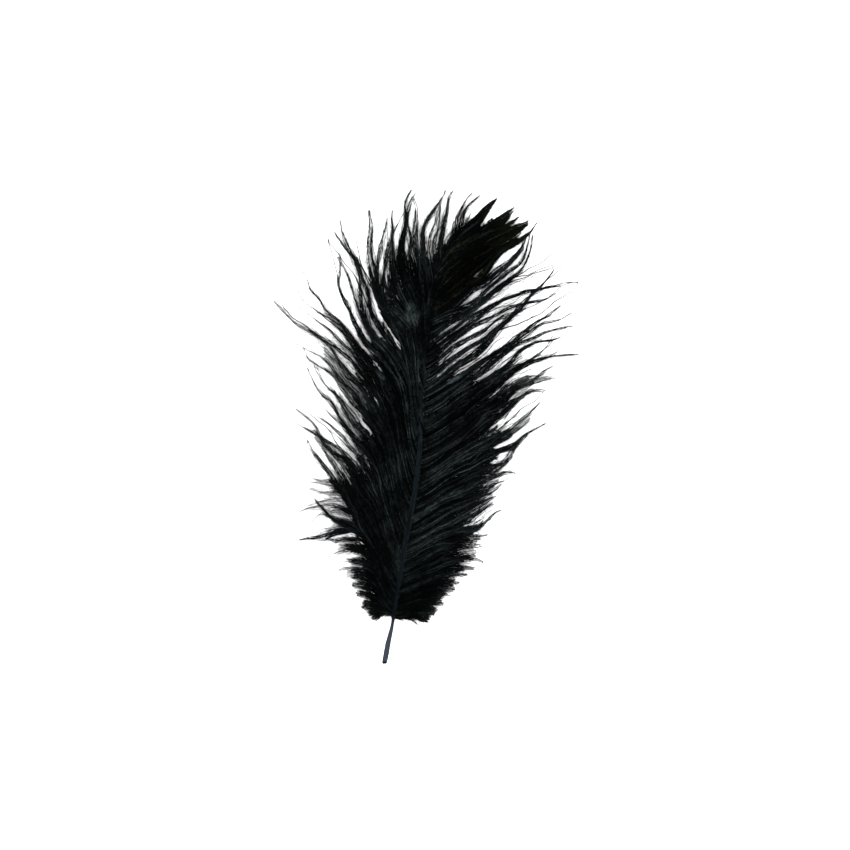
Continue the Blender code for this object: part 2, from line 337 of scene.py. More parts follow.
TIP_RIGHT = (
    Lock(49, ((9, 53), (17, 59.5), (23.3, 63.8), (28, 70.2), (32, 74.3), (38, 78), (43.5, 82.5),
         (46, 85.6)),
         8, 1.1, 0.15, Build.MATTED),
    Lock(52, ((9, 57), (17, 64), (24, 69.5), (31, 75.3), (36, 78),
         (40.8, 81.2)), 8, 1.5, 0.5, Build.MATTED),
    Lock(55.5, ((9, 61), (17, 68), (24, 73), (31, 77.3), (36, 80),
         (40, 83.2)), 8, 1.5, 0.7, Build.MATTED),
    Lock(59.5, ((10, 65), (18, 71.5), (25, 76), (32, 79.7), (37, 82.5),
         (42, 85.6)), 8, 1.5, 0.5, Build.MATTED),
    Lock(64, ((12, 69), (19, 74.5), (26, 79), (33, 82.5), (42.2, 87)), 8, 1.4, 0.4, Build.MATTED),
    Lock(69, ((14, 72), (20, 76.5), (27, 81), (33, 84.4), (38.5, 88.8)), 5, 1.2, 0.3, Build.MATTED),
    Lock(74, ((16, 75), (22, 79), (28, 83), (32, 86.4), (36, 91)), 5, 1.2, 0.3, Build.MATTED),
)

RIGHT_UPPER = (
    Lock(2, ((16, 13), (34, 23.5), (44.5, 29), (49, 32.5), (53.5, 38)), 3, 0.6, 0.15),
    Lock(4, ((14, 13), (28, 22), (36, 28.5), (40.5, 32.7), (46, 35.6), (52, 36.5),
         (56, 38.5)), 4, 0.9, 0.2),
    Lock(6.5, ((16, 18), (32, 30), (43.5, 37.7), (54.5, 41.3), (62, 42)), 3, 0.6, 0.2),
    Lock(8.5, ((14, 18), (26, 26.5), (34, 32), (39, 36)), 3, 0.8, 0.3),
    Lock(10.5, ((14, 20), (24, 27.5), (33, 34.5), (42.5, 41), (48, 45.7), (54, 49.5),
         (56, 51)), 4, 1.0, 0.2),
    Lock(13, ((14, 22), (30, 31.5), (43.5, 39.8), (49, 43.5), (54.5, 45.4), (59, 47),
         (62.3, 49)), 3, 0.8, 0.15),
    Lock(15.5, ((12, 25), (25, 34.5), (31.5, 42.5), (37, 48.3), (42, 53), (48.8, 60), (51.8, 64),
         (53.2, 67)), 5, 1.0, 0.15),
    Lock(17.5, ((14, 28), (27, 38), (36, 48.5), (48.5, 60), (52, 64), (57, 67)), 1, 0.5, 0.2, Build.HAIR),
    Lock(20, ((13, 30), (23, 37), (30, 42.5), (37.5, 47)), 4, 0.8, 0.3),
    Lock(22.5, ((16, 33), (30, 40), (40, 44.5), (49, 49.2), (55, 53), (60, 56.5),
         (63.3, 60.5)), 1, 0.5, 0.2, Build.HAIR),
    Lock(25, ((12, 34), (22, 40), (32, 46), (41, 50), (47, 52.5)), 3, 0.6, 0.25),
    Lock(28, ((13, 38), (26, 46), (37, 51.3), (44.5, 52.5), (51.5, 54.5), (56, 59)), 3, 0.6, 0.15),
    Lock(31, ((10, 38), (15.5, 41.5), (21.5, 46.3), (27.5, 51), (33, 53.6), (38, 55.6), (42.5, 57.5),
         (48, 58.7), (53, 59.7), (58.5, 60.6), (63.2, 61.3)), 4, 0.6, 0.15),
    Lock(34, ((9, 40), (17, 45), (24, 50), (30, 53.5)), 3, 0.5, 0.3),
    Lock(37, ((9, 43), (17, 48), (24, 53), (31, 58.5), (36, 62)), 3, 0.6, 0.3),
    Lock(40, ((14, 48), (28, 56.5), (38.5, 63.5), (43, 64.7), (48, 66),
         (53.5, 68)), 2, 0.4, 0.5, Build.HAIR),
    Lock(41.5, ((13, 48), (27, 56.5), (38, 64), (43.5, 66.5), (48, 69.5),
         (53, 74)), 1, 0.5, 0.2, Build.HAIR),
    Lock(43, ((9, 46.5), (16.5, 47.8), (21.5, 51.2), (27.5, 55.7), (33, 61), (38.5, 65.6),
         (42.5, 70.5), (44.3, 75), (45, 80.5)), 4, 0.8, 0.15),
    Lock(44.5, ((9, 48), (15.5, 50), (24, 56.7), (33, 64), (39, 69.3), (42, 75),
         (43.5, 80)), 4, 0.8, 0.15),
    Lock(46.5, ((10, 50), (18.5, 58), (25, 61.3), (31, 66.3), (36, 70.7), (40.6, 76.5),
         (42.8, 81)), 7, 1.4, 0.25, Build.MATTED),
)

RIGHT_LOWER = (
    Lock(-56.5, ((4, -50), (12, -47), (17.5, -44.5), (22.5, -42.5)), 5, 1.3, 0.7),
    Lock(-53.5, ((4, -47), (14, -44), (22.5, -42), (26.5, -38.2), (31.5, -35.5)), 3, 0.9, 0.2),
    Lock(-50.5, ((4, -44), (14, -40), (22, -36), (27.5, -32.5)), 5, 1.4, 0.6),
    Lock(-47.5, ((6, -41), (14, -37.5), (22.5, -32.5), (28.5, -29.5)), 5, 1.4, 0.5),
    Lock(-44.5, ((6, -37), (16, -32.5), (24, -28.5), (31, -25)), 5, 1.4, 0.5),
    Lock(-41.5, ((8, -33), (20, -28), (29, -24.5), (34, -21.8)), 5, 1.4, 0.5),
    Lock(-38.5, ((8, -30), (20, -24.5), (30, -20.7), (33.5, -19.3), (36.8, -19)), 5, 1.2, 0.3),
    Lock(-35.5, ((10, -27), (22, -21.5), (30, -17.5), (35.5, -12.5)), 4, 1.3, 0.5),
    Lock(-32.5, ((12, -23), (24, -17.5), (32, -14.5), (37.5, -8.5), (42, -4)), 4, 1.1, 0.3),
    Lock(-29, ((12, -19), (24, -13.5), (34, -9), (38.5, -5.5), (43, -2), (46.5, -0.8),
         (50, 1)), 4, 1.0, 0.2),
    Lock(-26, ((12, -16), (24, -9.5), (32, -5), (38, -1), (43.5, 3)), 3, 1.0, 0.4),
    Lock(-23, ((14, -12.5), (26, -6), (34, -1), (41.5, 4), (45, 7), (47.7, 10)), 3, 0.9, 0.2),
    Lock(-20.5, ((13, -10), (27, -2), (35, 3), (40, 7), (45, 10.5),
         (48.5, 14.5)), 1, 0.5, 0.2, Build.HAIR),
    Lock(-18.5, ((13, -8.5), (25, -0.5), (32, 5), (36.5, 10)), 4, 1.3, 0.8),
    Lock(-16, ((14, -6), (28, 4), (36, 9.5), (40, 12.7), (44.5, 15), (49.5, 15.5)), 5, 1.2, 0.5),
    Lock(-12.5, ((14, -3), (28, 8.5), (36, 14.5), (40, 16.8), (44.5, 18.6), (49.5, 20.3),
         (55.5, 21.3)), 5, 1.3, 0.5),
    Lock(-9.5, ((14, 0), (26, 9), (34, 15.5), (40, 20), (46, 22)), 4, 1.2, 0.6),
    Lock(-7.5, ((14, 2), (32, 14), (45.5, 21), (49.8, 23.7), (54.5, 26)), 3, 0.9, 0.2),
    Lock(-4.5, ((15, 6), (34, 20.5), (49.5, 29.3), (55.5, 32.5)), 1, 0.5, 0.2, Build.HAIR),
    Lock(-3, ((14, 7), (28, 17.5), (35, 22), (39.5, 25), (44.5, 28), (49.5, 29.6), (54.5, 30.5),
         (59, 30.2), (63.5, 30.4)), 4, 0.9, 0.12),
    Lock(-0.5, ((14, 9.5), (26, 18.5), (34, 24.5), (40, 29.5)), 4, 1.2, 0.7),
)

RIGHT_BASE = (
    Lock(-80.2, ((-8.5, -80), (-4, -83.2)), 1, 0.3, 0.1, Build.HAIR),
    Lock(-79.7, ((-9, -80), (-5, -80.4)), 6, 0.7, 0.5, Build.DOWN),
    Lock(-79.2, ((-6.5, -79.3), (0.5, -80.9)), 8, 1.0, 0.8, Build.DOWN),
    Lock(-78.5, ((-5, -77.9), (2.6, -79)), 6, 1.0, 0.8, Build.DOWN),
    Lock(-77.6, ((-3, -76.3), (4, -77.2)), 7, 1.1, 0.8, Build.DOWN),
    Lock(-76.4, ((-2, -74.2), (6.3, -74.8)), 6, 1.1, 0.9, Build.DOWN),
    Lock(-75, ((0, -71.4), (9.3, -71.2)), 7, 1.2, 0.9, Build.DOWN),
    Lock(-73.3, ((1, -69), (11.3, -68.3)), 6, 1.2, 0.9, Build.DOWN),
    Lock(-71.5, ((2.5, -66.5), (13, -65.6)), 6, 1.2, 0.9, Build.DOWN),
    Lock(-69.5, ((4, -63.5), (16.5, -62.6)), 6, 1.2, 0.8, Build.DOWN),
    Lock(-67.5, ((5, -60.8), (13, -59), (20.5, -59.3)), 5, 1.2, 0.6, Build.DOWN),
    Lock(-65.3, ((7, -58), (16, -56), (23.4, -56.9)), 5, 1.2, 0.5, Build.DOWN),
    Lock(-63.2, ((8, -55), (15, -53.4), (20.5, -53.2)), 5, 1.2, 0.9, Build.DOWN),
    Lock(-61.3, ((8, -52.5), (16, -50.8), (23, -49.8)), 5, 1.2, 0.8, Build.DOWN),
    Lock(-59.5, ((9, -50), (16, -48.3), (22, -47.2)), 4, 1.1, 0.6),
    Lock(-58, ((9, -48.5), (17, -46.6), (25.6, -45.3)), 3, 0.8, 0.3),
)


def smooth_line(points: tuple[tuple[float, ...], ...]) -> np.ndarray:
    """Run a smooth curve through given points.

    Args:
        points: x, y, height and width of each point, in millimetres.

    Returns:
        An array with a row of x, y, height and width for each place on the curve.
    """
    places = [Vector(p[:3]) for p in points]
    last = len(places) - 1
    handles = []
    for i, place in enumerate(places):
        ahead, behind = places[min(i + 1, last)], places[max(i - 1, 0)]
        along = (ahead - behind).normalized()
        before, after = (place - behind).length / 3, (ahead - place).length / 3
        handles.append((place - along * before, place + along * after))
    rows = []
    for i in range(last):
        ends = places[i], handles[i][1], handles[i + 1][0], places[i + 1]
        for j, place in enumerate(interpolate_bezier(*ends, SPAN_STEPS + 1)[:-1]):
            share = j / SPAN_STEPS
            rows.append((*place, points[i][3] * (1 - share) + points[i + 1][3] * share))
    rows.append(points[-1])
    return np.array(rows)


def unit(vectors: np.ndarray) -> np.ndarray:
    """Scale vectors, one a row, to a length of 1."""
    return vectors / np.maximum(np.linalg.norm(vectors, axis=-1, keepdims=True), 1e-9)


def turned(vector: np.ndarray, degrees: float) -> np.ndarray:
    """Turn a level vector anticlockwise, seen from above."""
    c, s = math.cos(math.radians(degrees)), math.sin(math.radians(degrees))
    return np.array((c * vector[0] - s * vector[1], s * vector[0] + c * vector[1]))


def run_lengths(points: np.ndarray) -> np.ndarray:
    """The distance of each point of a polyline from its start, along the line."""
    steps = np.linalg.norm(np.diff(points, axis=0), axis=1)
    return np.concatenate(([0.0], np.cumsum(steps)))


def read_line(points: np.ndarray, at: np.ndarray) -> np.ndarray:
    """Read a polyline at distances along it.

    Args:
        points: The polyline, one place a row.
        at: Distances from its start.

    Returns:
        The places at those distances, one a row.
    """
    runs = run_lengths(points)
    return np.stack([np.interp(at, runs, column) for column in points.T], 1)


def flowing_curve(points: np.ndarray, leave: np.ndarray) -> np.ndarray:
    """Draw the level course of a barb through given points.

    Args:
        points: Root, places passed and tip, as rows of x and y.
        leave: The direction in which it leaves its root.

    Returns:
        The course, as CURVE_POINTS evenly spaced rows of x and y.
    """
    chords = np.diff(points, axis=0)
    lengths = np.linalg.norm(chords, axis=1)
    chords = chords / lengths[:, None]
    tangents = [leave]
    for i in range(1, len(chords)):
        weight = lengths[i - 1] / (lengths[i - 1] + lengths[i])
        tangents.append(unit(chords[i] * weight + chords[i - 1] * (1 - weight)))
    tangents.append(unit(2 * chords[-1] - tangents[-1]))
    pieces = []
    u = np.linspace(0, 1, SPAN_STEPS + 1)[:-1, None]
    for i, length in enumerate(lengths):
        pieces.append(
            (2 * u**3 - 3 * u**2 + 1) * points[i]
            + (u**3 - 2 * u**2 + u) * length * tangents[i]
            + (3 * u**2 - 2 * u**3) * points[i + 1]
            + (u**3 - u**2) * length * tangents[i + 1]
        )
    course = np.concatenate([*pieces, points[-1:]])
    return read_line(course, np.linspace(0, run_lengths(course)[-1], CURVE_POINTS))


def thinned(course: np.ndarray) -> np.ndarray:
    """Give a course only as many places as its length needs.

    Args:
        course: Evenly spaced rows of x, y and z.

    Returns:
        The same course, with places POINT_SPACING apart, and at least eight.
    """
    length = run_lengths(course)[-1]
    return read_line(course, np.linspace(0, length, max(8, round(length / POINT_SPACING) + 1)))


def shortened(course: np.ndarray, share: float) -> np.ndarray:
    """Keep only a share of a course, from its root."""
    return read_line(course, np.linspace(0, share, CURVE_POINTS) * run_lengths(course)[-1])


def full_to(side: Side, y: float) -> float:
    """The share of a barb's length out to which the vane is full, where its root is at y."""
    return float(np.interp(y, *zip(*FULL_TO[side])))


class Spine:
    """The middle line of the shaft, which every barb leaves from."""

    NEAR = 1.5  # its direction is read between places this far behind and ahead

    def __init__(self) -> None:
        """Read the smooth line of the shaft."""
        self.line = smooth_line(SHAFT_LINE)

    def at(self, y: float) -> tuple[np.ndarray, float, np.ndarray]:
        """Where the shaft is at one Y.

        Args:
            y: The place along the feather.

        Returns:
            The middle of the shaft, its width, and its level direction towards the tip.
        """
        runs = self.line[:, 1]
        x, z, width = (np.interp(y, runs, self.line[:, k]) for k in (0, 2, 3))
        ahead = np.interp(y + self.NEAR, runs, self.line[:, 0])
        behind = np.interp(y - self.NEAR, runs, self.line[:, 0])
        return np.array((x, y, z)), float(width), unit(np.array((ahead - behind, 2 * self.NEAR)))


@dataclass
class Barb:
    """One barb.

    Fields: course is where it runs, as evenly spaced rows of x, y and z, fringe its kind,
    tone its shade, and hidden the share of it, from its root, that lies in the thick of the
    vane, where its barbules stand further apart.
    """

    course: np.ndarray
    fringe: Fringe
    tone: float
    hidden: float


class BarbMesh:
    """The joined mesh of a group of barbs, each a closed tapering thread with its barbules."""

    # The three corners of a thread's section, as shares of its side and of its height
    SECTION = np.array(((0.0, 0.67), (-0.5, -0.33), (0.5, -0.33)))
    THREAD_HEIGHT = 0.9  # of a thread's section, as a share of its width
    NUDGES = (0.0, 0.001, 0.002)  # keep the corners of one section apart in the UV map
    CORNER_ROWS = (0.0, -0.05, 0.05)  # how far each is from the middle of its row there
    ROW_START, ROW_LENGTH = 0.02, 0.94  # of a barb's row in the UV map

    BARE_ROOT = 0.5  # length of a barb beside the shaft that carries no barbules
    BARE_TIP = 0.1  # the same at its tip
    NEAREST = 0.3  # no barbule is nearer to its barb's root
    UNEVEN = 0.4  # how far a barbule stands out of its place, in pitches
    COARSE_INSIDE = 2.3  # how much wider barbules are in the thick of the vane
    LEAN_SPREAD = 0.2  # how much the lean varies, as a share of it
    OUTER_LEAN = 0.45  # lean of a barbule's outer half, as a share of that of its inner half
    SHORTEST, LONGEST = 0.65, 1.1  # barbules beside each other, as shares of the fringe's length
    LOOSE_LEAN, LOOSE_LENGTH, LOOSE_WIDTH = 2.1, 1.7, 0.6  # of a loose barbule, times the usual
    BARBULE_HEIGHT = 0.6  # of a barbule's section, as a share of its width

    # A barbule is its root, three corners at its middle and its tip: its faces, and for each
    # vertex how many half lengths out it is, how it is nudged and how far from its row
    SPINDLE = np.array(((0, 2, 1), (1, 2, 4), (0, 3, 2), (2, 3, 4), (0, 1, 3), (3, 1, 4)))
    SPINDLE_HALVES = np.array((0, 1, 1, 1, 2))
    SPINDLE_NUDGES = np.array((0.0, 0.0, -0.0015, 0.0015, 0.0))
    SPINDLE_ROWS = np.array((0.08, 0.28, 0.24, 0.24, 0.44))

    def __init__(self, barbs: list[Barb], rng: np.random.Generator) -> None:
        """Build the bodies of all barbs.

        Args:
            barbs: The barbs, each of which gets its own row of the UV map.
            rng: The group's own random numbers.
        """
        self.rng = rng
        self.count = 0
        self.rows = len(barbs)
        self.parts: dict[str, list[np.ndarray]] = {
            name: [] for name in ("places", "faces", "spots", "tone", "run", "barbule")
        }
        for row, barb in enumerate(barbs):
            self.add_thread(row, barb)
            for hand in (-1, 1):
                self.add_barbules(row, barb, hand)

    def add(
        self, row: int, tone: float | np.ndarray, places: np.ndarray, faces: np.ndarray,
        spots: np.ndarray, barbule: np.ndarray,
    ) -> None:
        """Add closed bodies that belong to one barb.

        Args:
            row: The barb's row in the UV map.
            tone: Its share of the lighter colour, for thinner dye and painted sheen, from 0 to 1,
            for all of it or for each vertex.
            places: Vertices in millimetres, one a row.
            faces: Triangles, as rows of three indices into places.
            spots: Each vertex's share of the way along the barb, and how far it is to one
                side of the barb's row, from -0.5 to 0.5.
            barbule: Each vertex's share of the way out along its barbule, 0 on the thread.
        """
        places[:, 2] = np.maximum(places[:, 2], FLOOR_CLEARANCE)
        self.parts["places"].append(places)
        self.parts["faces"].append(faces + self.count)
        across = (row + 0.5 + spots[:, 1]) / self.rows
        along = self.ROW_START + self.ROW_LENGTH * spots[:, 0]
        self.parts["spots"].append(np.stack((along, across), 1))
        self.parts["tone"].append(np.broadcast_to(tone, len(places)))
        self.parts["run"].append(spots[:, 0])
        self.parts["barbule"].append(barbule)
        self.count += len(places)

    def add_thread(self, row: int, barb: Barb) -> None:
        """Add the barb's own thread, three-sided and closed at both ends.

        Args:
            row: The barb's row in the UV map.
            barb: The barb.
        """
        course = barb.course
        share = np.linspace(0, 1, len(course))
        forward = unit(np.gradient(course, axis=0))
        side = unit(np.cross(UP, forward))
        over = np.cross(forward, side)
        thick = barb.fringe.core * (1 - barb.fringe.fining * share**2)
        ring = (
            course[:, None, :]
            + (self.SECTION[None, :, :1] * thick[:, None, None]) * side[:, None, :]
            + (self.SECTION[None, :, 1:] * thick[:, None, None] * self.THREAD_HEIGHT) * over[:, None, :]
        )
        faces = []
        starts = np.arange(len(course) - 1) * 3
        for k in range(3):
            a, b = starts + k, starts + (k + 1) % 3
            faces += [np.stack((a, b, b + 3), 1), np.stack((a, b + 3, a + 3), 1)]
        end = (len(course) - 1) * 3
        faces.append(np.array(((0, 2, 1), (end, end + 1, end + 2))))
        along = np.repeat(share, 3) + np.tile(self.NUDGES, len(course))
        spots = np.stack((along, np.tile(self.CORNER_ROWS, len(course))), 1)
        places = ring.reshape(-1, 3)
        self.add(row, barb.tone, places, np.concatenate(faces), spots, np.zeros(len(spots)))

    def stations(self, barb: Barb, length: float) -> tuple[np.ndarray, np.ndarray]:
        """Choose where one side's barbules stand.

        Args:
            barb: The barb they grow on.
            length: Its length.

        Returns:
            The distance of each from the root, and how coarse it is, from 1 on.
        """
        change = self.BARE_ROOT + barb.hidden * (length - self.BARE_ROOT)
        pitch = barb.fringe.pitch
        near = np.arange(self.BARE_ROOT, change, pitch * barb.fringe.inner)
        far = np.arange(change, length - self.BARE_TIP, pitch)
        at = np.concatenate((near, far))
        at = at + self.rng.uniform(-self.UNEVEN, self.UNEVEN, len(at)) * pitch
        return np.clip(at, self.NEAREST, length), np.where(at < change, self.COARSE_INSIDE, 1.0)

    def add_barbules(self, row: int, barb: Barb, hand: int) -> None:
        """Add the barbules of one side, each a bent spindle of six triangles.

        Args:
            row: The barb's row in the UV map.
            barb: The barb that they grow on.
            hand: 1 for the side on the left, seen from the root, and -1 for the other.
        """
        fringe, rng = barb.fringe, self.rng
        length = run_lengths(barb.course)[-1]
        slopes = np.gradient(barb.course, axis=0)
        at, coarse = self.stations(barb, length)
        count = len(at)
        share = at / length
        base = read_line(barb.course, at)
        grid = np.linspace(0, 1, len(slopes))
        forward = unit(np.stack([np.interp(share, grid, column) for column in slopes.T], 1))
        side = unit(np.cross(UP, forward)) * hand
        over = np.cross(forward, side) * hand

        loose = rng.random(count) < fringe.loose
        lean = fringe.lean * rng.normal(1, self.LEAN_SPREAD, count) * np.where(loose, self.LOOSE_LEAN, 1)
        lean = np.radians(lean)[:, None]
        roll = np.radians(rng.uniform(-1, 1, count) * fringe.roll)[:, None]
        out = np.cos(roll) * side + np.sin(roll) * over
        first = np.cos(lean) * forward + np.sin(lean) * out
        second = np.cos(lean * self.OUTER_LEAN) * forward + np.sin(lean * self.OUTER_LEAN) * out
        # Barbules are longest on the middle of a barb, and short at its root and its tip
        taper = np.clip(1.2 - 0.75 * share**2, 0, 1) * np.clip(0.55 + 2 * share, 0, 1)
        reach = fringe.length * taper * rng.uniform(self.SHORTEST, self.LONGEST, count)
        reach = (reach * np.where(loose, self.LOOSE_LENGTH, 1))[:, None]
        middle = base + first * reach * 0.5
        tip = middle + second * reach * 0.5

        across = unit(np.cross(UP, first))
        upright = np.cross(first, across)
        width = fringe.width * coarse * (1 - 0.6 * fringe.fining * share)
        width = (width * np.where(loose, self.LOOSE_WIDTH, 1))[:, None]
        corners = [
            middle + level * width * across + rise * self.BARBULE_HEIGHT * width * upright
            for level, rise in self.SECTION
        ]
        places = np.stack((base, *corners, tip), 1).reshape(-1, 3)
        faces = (np.arange(count)[:, None, None] * len(self.SPINDLE_ROWS) + self.SPINDLE).reshape(-1, 3)

        run = share[:, None] + reach * 0.5 / length * self.SPINDLE_HALVES + self.SPINDLE_NUDGES
        spots = np.stack((run.clip(0, 1).ravel(), np.tile(hand * self.SPINDLE_ROWS, count)), 1)
        # The shade of a barbule is partly its barb's and partly its own
        tones = np.clip(barb.tone * 0.55 + rng.random(count) * 0.5, 0, 1)
        self.add(
            row, np.repeat(tones, len(self.SPINDLE_ROWS)), places, faces, spots,
            np.tile(self.SPINDLE_HALVES / 2, count))

    def make(self, name: str) -> bpy.types.Object:
        """Join all bodies in one object.

        Args:
            name: The name of the piece.

        Returns:
            The object, smooth shaded, with its UV map and attributes.
        """
        joined = {key: np.concatenate(values) for key, values in self.parts.items()}
        faces = joined["faces"].astype(np.int32)
        mesh = bpy.data.meshes.new(name)
        mesh.vertices.add(self.count)
        mesh.vertices.foreach_set("co", (joined["places"] * MM).astype(np.float32).ravel())
        mesh.loops.add(faces.size)
        mesh.loops.foreach_set("vertex_index", faces.ravel())
        mesh.polygons.add(len(faces))
        mesh.polygons.foreach_set("loop_start", np.arange(len(faces), dtype=np.int32) * 3)
        mesh.polygons.foreach_set("use_smooth", np.ones(len(faces), dtype=bool))
        for label in ("tone", "run", "barbule"):
            values = mesh.attributes.new(label, "FLOAT", "POINT")
            values.data.foreach_set("value", joined[label].astype(np.float32))
        uv = mesh.uv_layers.new(name=UV_NAME)
        uv.data.foreach_set("uv", joined["spots"][faces.ravel()].astype(np.float32).ravel())
        mesh.update(calc_edges=True)
        mesh.validate()
        piece = bpy.data.objects.new(name, mesh)
        bpy.context.scene.collection.objects.link(piece)
        return piece


@dataclass
class Plumage:
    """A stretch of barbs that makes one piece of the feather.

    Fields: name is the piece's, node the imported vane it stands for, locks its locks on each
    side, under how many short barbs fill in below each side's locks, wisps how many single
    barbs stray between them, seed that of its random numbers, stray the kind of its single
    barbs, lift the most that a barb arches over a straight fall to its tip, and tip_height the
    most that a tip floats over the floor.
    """

    name: str
    node: str
    locks: dict[Side, tuple[Lock, ...]]
    under: dict[Side, int]
    wisps: dict[Side, int]
    seed: int
    stray: Build = Build.WISP
    lift: float = 2.4
    tip_height: float = 2.6
    piece: bpy.types.Object | None = field(default=None, init=False)

    WAVES = ((28, 0.60), (11, 0.27), (5, 0.10))  # length and size of each wave in a barb
    WAVES_GROW = 1.6  # the waves are full from one in this many lengths on
    DRIFT = 1.3  # how far a stray barb's tip may wander
    STRAY_ROOT = 1.2  # how far above the shaft's middle a stray barb starts
    TIP_ALLOWANCE = 0.9  # a tip is so fine at its very end that it runs on this far
    ROOT_OVER, ROOT_BESIDE = -0.75, 0.3  # from the shaft's middle to a root, in widths
    LEAVE_TURN = 11  # degrees by which a barb leaves the shaft more squarely than it goes on
    CLOSING = (0.3, 0.8, 1.0)  # shares of their length by which the barbs of a lock close up
    CLOSING_MATTED = (0.5, 0.95, 1.0)  # the same where they are stuck together
    CLOSED = (0.0, 0.7, 1.0)  # how far they have closed up there
    UNEVEN = 0.12  # how far a barb strays from its even place in a lock, as a share of its spread
    SHORTEST = 0.84  # length of a lock's outer barbs, as a share of that of its middle one
    COARSE_TO, COARSE_STRAY_TO = 0.85, 0.9  # shares of the full vane where barbules are coarse
    UNDER_DEPTH = 0.5  # how much lower than the locks the short barbs start
    UNDER_TIPS = 0.7  # height of their tips, as a share of tip_height

    def build(self, spine: Spine) -> bpy.types.Object:
        """Grow the barbs and make the piece.

        Args:
            spine: The middle line of the shaft.

        Returns:
            The finished piece.
        """
        rng = np.random.default_rng(FEATHER_SEED + self.seed)
        barbs = []
        for side, locks in self.locks.items():
            roots = np.array([lock.root for lock in locks])
            reaches = np.abs(np.gradient(roots))
            courses = [
                self.lock_barbs(spine, side, lock, reach, rng) for lock, reach in zip(locks, reaches)
            ]
            for grown in courses:
                barbs += grown
            guides = [grown[len(grown) // 2] for grown in courses if len(grown) > 1]
            barbs += self.under_barbs(side, guides, rng)
            barbs += self.stray_barbs(side, guides, rng)
        barbs = [replace(barb, course=thinned(barb.course)) for barb in barbs]
        self.piece = BarbMesh(barbs, rng).make(self.name)
        LOG.info("%s: %d barbs, %d triangles", self.name, len(barbs), len(self.piece.data.polygons))
        return self.piece

    def lock_barbs(
        self, spine: Spine, side: Side, lock: Lock, reach: float, rng: np.random.Generator,
    ) -> list[Barb]:
        """Grow the barbs of one lock, from the one nearest the tip of the feather down.

        Args:
            spine: The middle line of the shaft.
            side: The side it grows on.
            lock: Its places and sizes.
            reach: How much of the shaft its barbs share out.
            rng: The group's own random numbers.

        Returns:
            The barbs.
        """
        path = np.array(lock.path, float)
        path[-1] += unit(path[-1] - path[-2]) * self.TIP_ALLOWANCE
        barbs = []
        tip_height = rng.uniform(0.35, 1) * self.tip_height
        beat = rng.random((len(self.WAVES), 2))
        closing = self.CLOSING_MATTED if lock.build is Build.MATTED else self.CLOSING
        shares = np.linspace(-1, 1, lock.barbs) if lock.barbs > 1 else np.zeros(1)
        for share in shares:
            y = lock.root - share * reach / 2 * (1 - 1 / lock.barbs)
            root, width, ahead = spine.at(y)
            outward = turned(ahead, -90 * side.value)
            start = root[:2] + outward * width * (self.ROOT_OVER if lock.over else self.ROOT_BESIDE)
            climb = width * 0.5 + rng.uniform(0.1, 0.6) if lock.over else 0.0
            points = np.concatenate((start[None], path))
            runs = run_lengths(points)[1:] / run_lengths(points)[-1]
            slopes = unit(np.gradient(points, axis=0))[1:]
            baseward = np.stack((slopes[:, 1], -slopes[:, 0]), 1) * side.value
            closed = np.interp(runs, closing, self.CLOSED)
            spread = lock.spread * (1 - closed) + lock.splay * closed
            stray = rng.normal(0, self.UNEVEN, len(path)) * spread
            points[1:] += baseward * (share * spread + stray)[:, None]
            first = unit(points[1] - points[0])
            course = flowing_curve(points, turned(first, -self.LEAVE_TURN * side.value))
            outer = abs(share) > np.abs(shares).min() + 0.01
            course = shortened(course, rng.uniform(self.SHORTEST, 1.0) if outer else 1.0)
            course = self.waved(course, lock.build.value.waver, beat + rng.normal(0, 0.05, beat.shape))
            lift = rng.uniform(-0.15, 1) * self.lift
            tip = tip_height * rng.uniform(0.7, 1.2)
            course = self.raised(course, root[2] + climb, tip, lift, lock.build)
            hidden = self.COARSE_TO * full_to(side, y)
            tone = rng.random() * (0.6 if lock.over else 1.0)
            barbs.append(Barb(course, lock.build.value, tone, hidden))
        return barbs

    @staticmethod
    def between(guides: list[Barb], spot: float) -> tuple[np.ndarray, float]:
        """Find the course that a barb between two neighbouring locks would take.

        Args:
            guides: The middle barb of each lock, in order along the shaft.
            spot: An index into the guides, with the share of the way on to the next one.

        Returns:
            The level course, as rows of x and y, and its height at the shaft.
        """
        index = min(max(int(spot), 0), len(guides) - 2)
        share = spot - index
        course = guides[index].course * (1 - share) + guides[index + 1].course * share
        return course[:, :2], course[0, 2]

    def under_barbs(self, side: Side, guides: list[Barb], rng: np.random.Generator) -> list[Barb]:
        """Grow the shorter barbs that lie under the locks, each between two neighbours.

        Args:
            side: The side they grow on.
            guides: The middle barb of each lock, in order along the shaft.
            rng: The group's own random numbers.

        Returns:
            The barbs.
        """
        barbs = []
        for spot in np.linspace(-0.5, len(guides) - 0.5, self.under[side]):
            course, root_height = self.between(guides, spot)
            course = shortened(course, full_to(side, course[0, 1]) * rng.uniform(0.8, 1.06))
            drop = -rng.uniform(0.5, 1.0) * self.lift
            course = self.waved(course, Build.UNDER.value.waver, rng.random((len(self.WAVES), 2)))
            root, tip = root_height - self.UNDER_DEPTH, self.tip_height * self.UNDER_TIPS
            course = self.raised(course, root, tip, drop, Build.UNDER)
            barbs.append(Barb(course, Build.UNDER.value, rng.random(), 0.0))
        return barbs

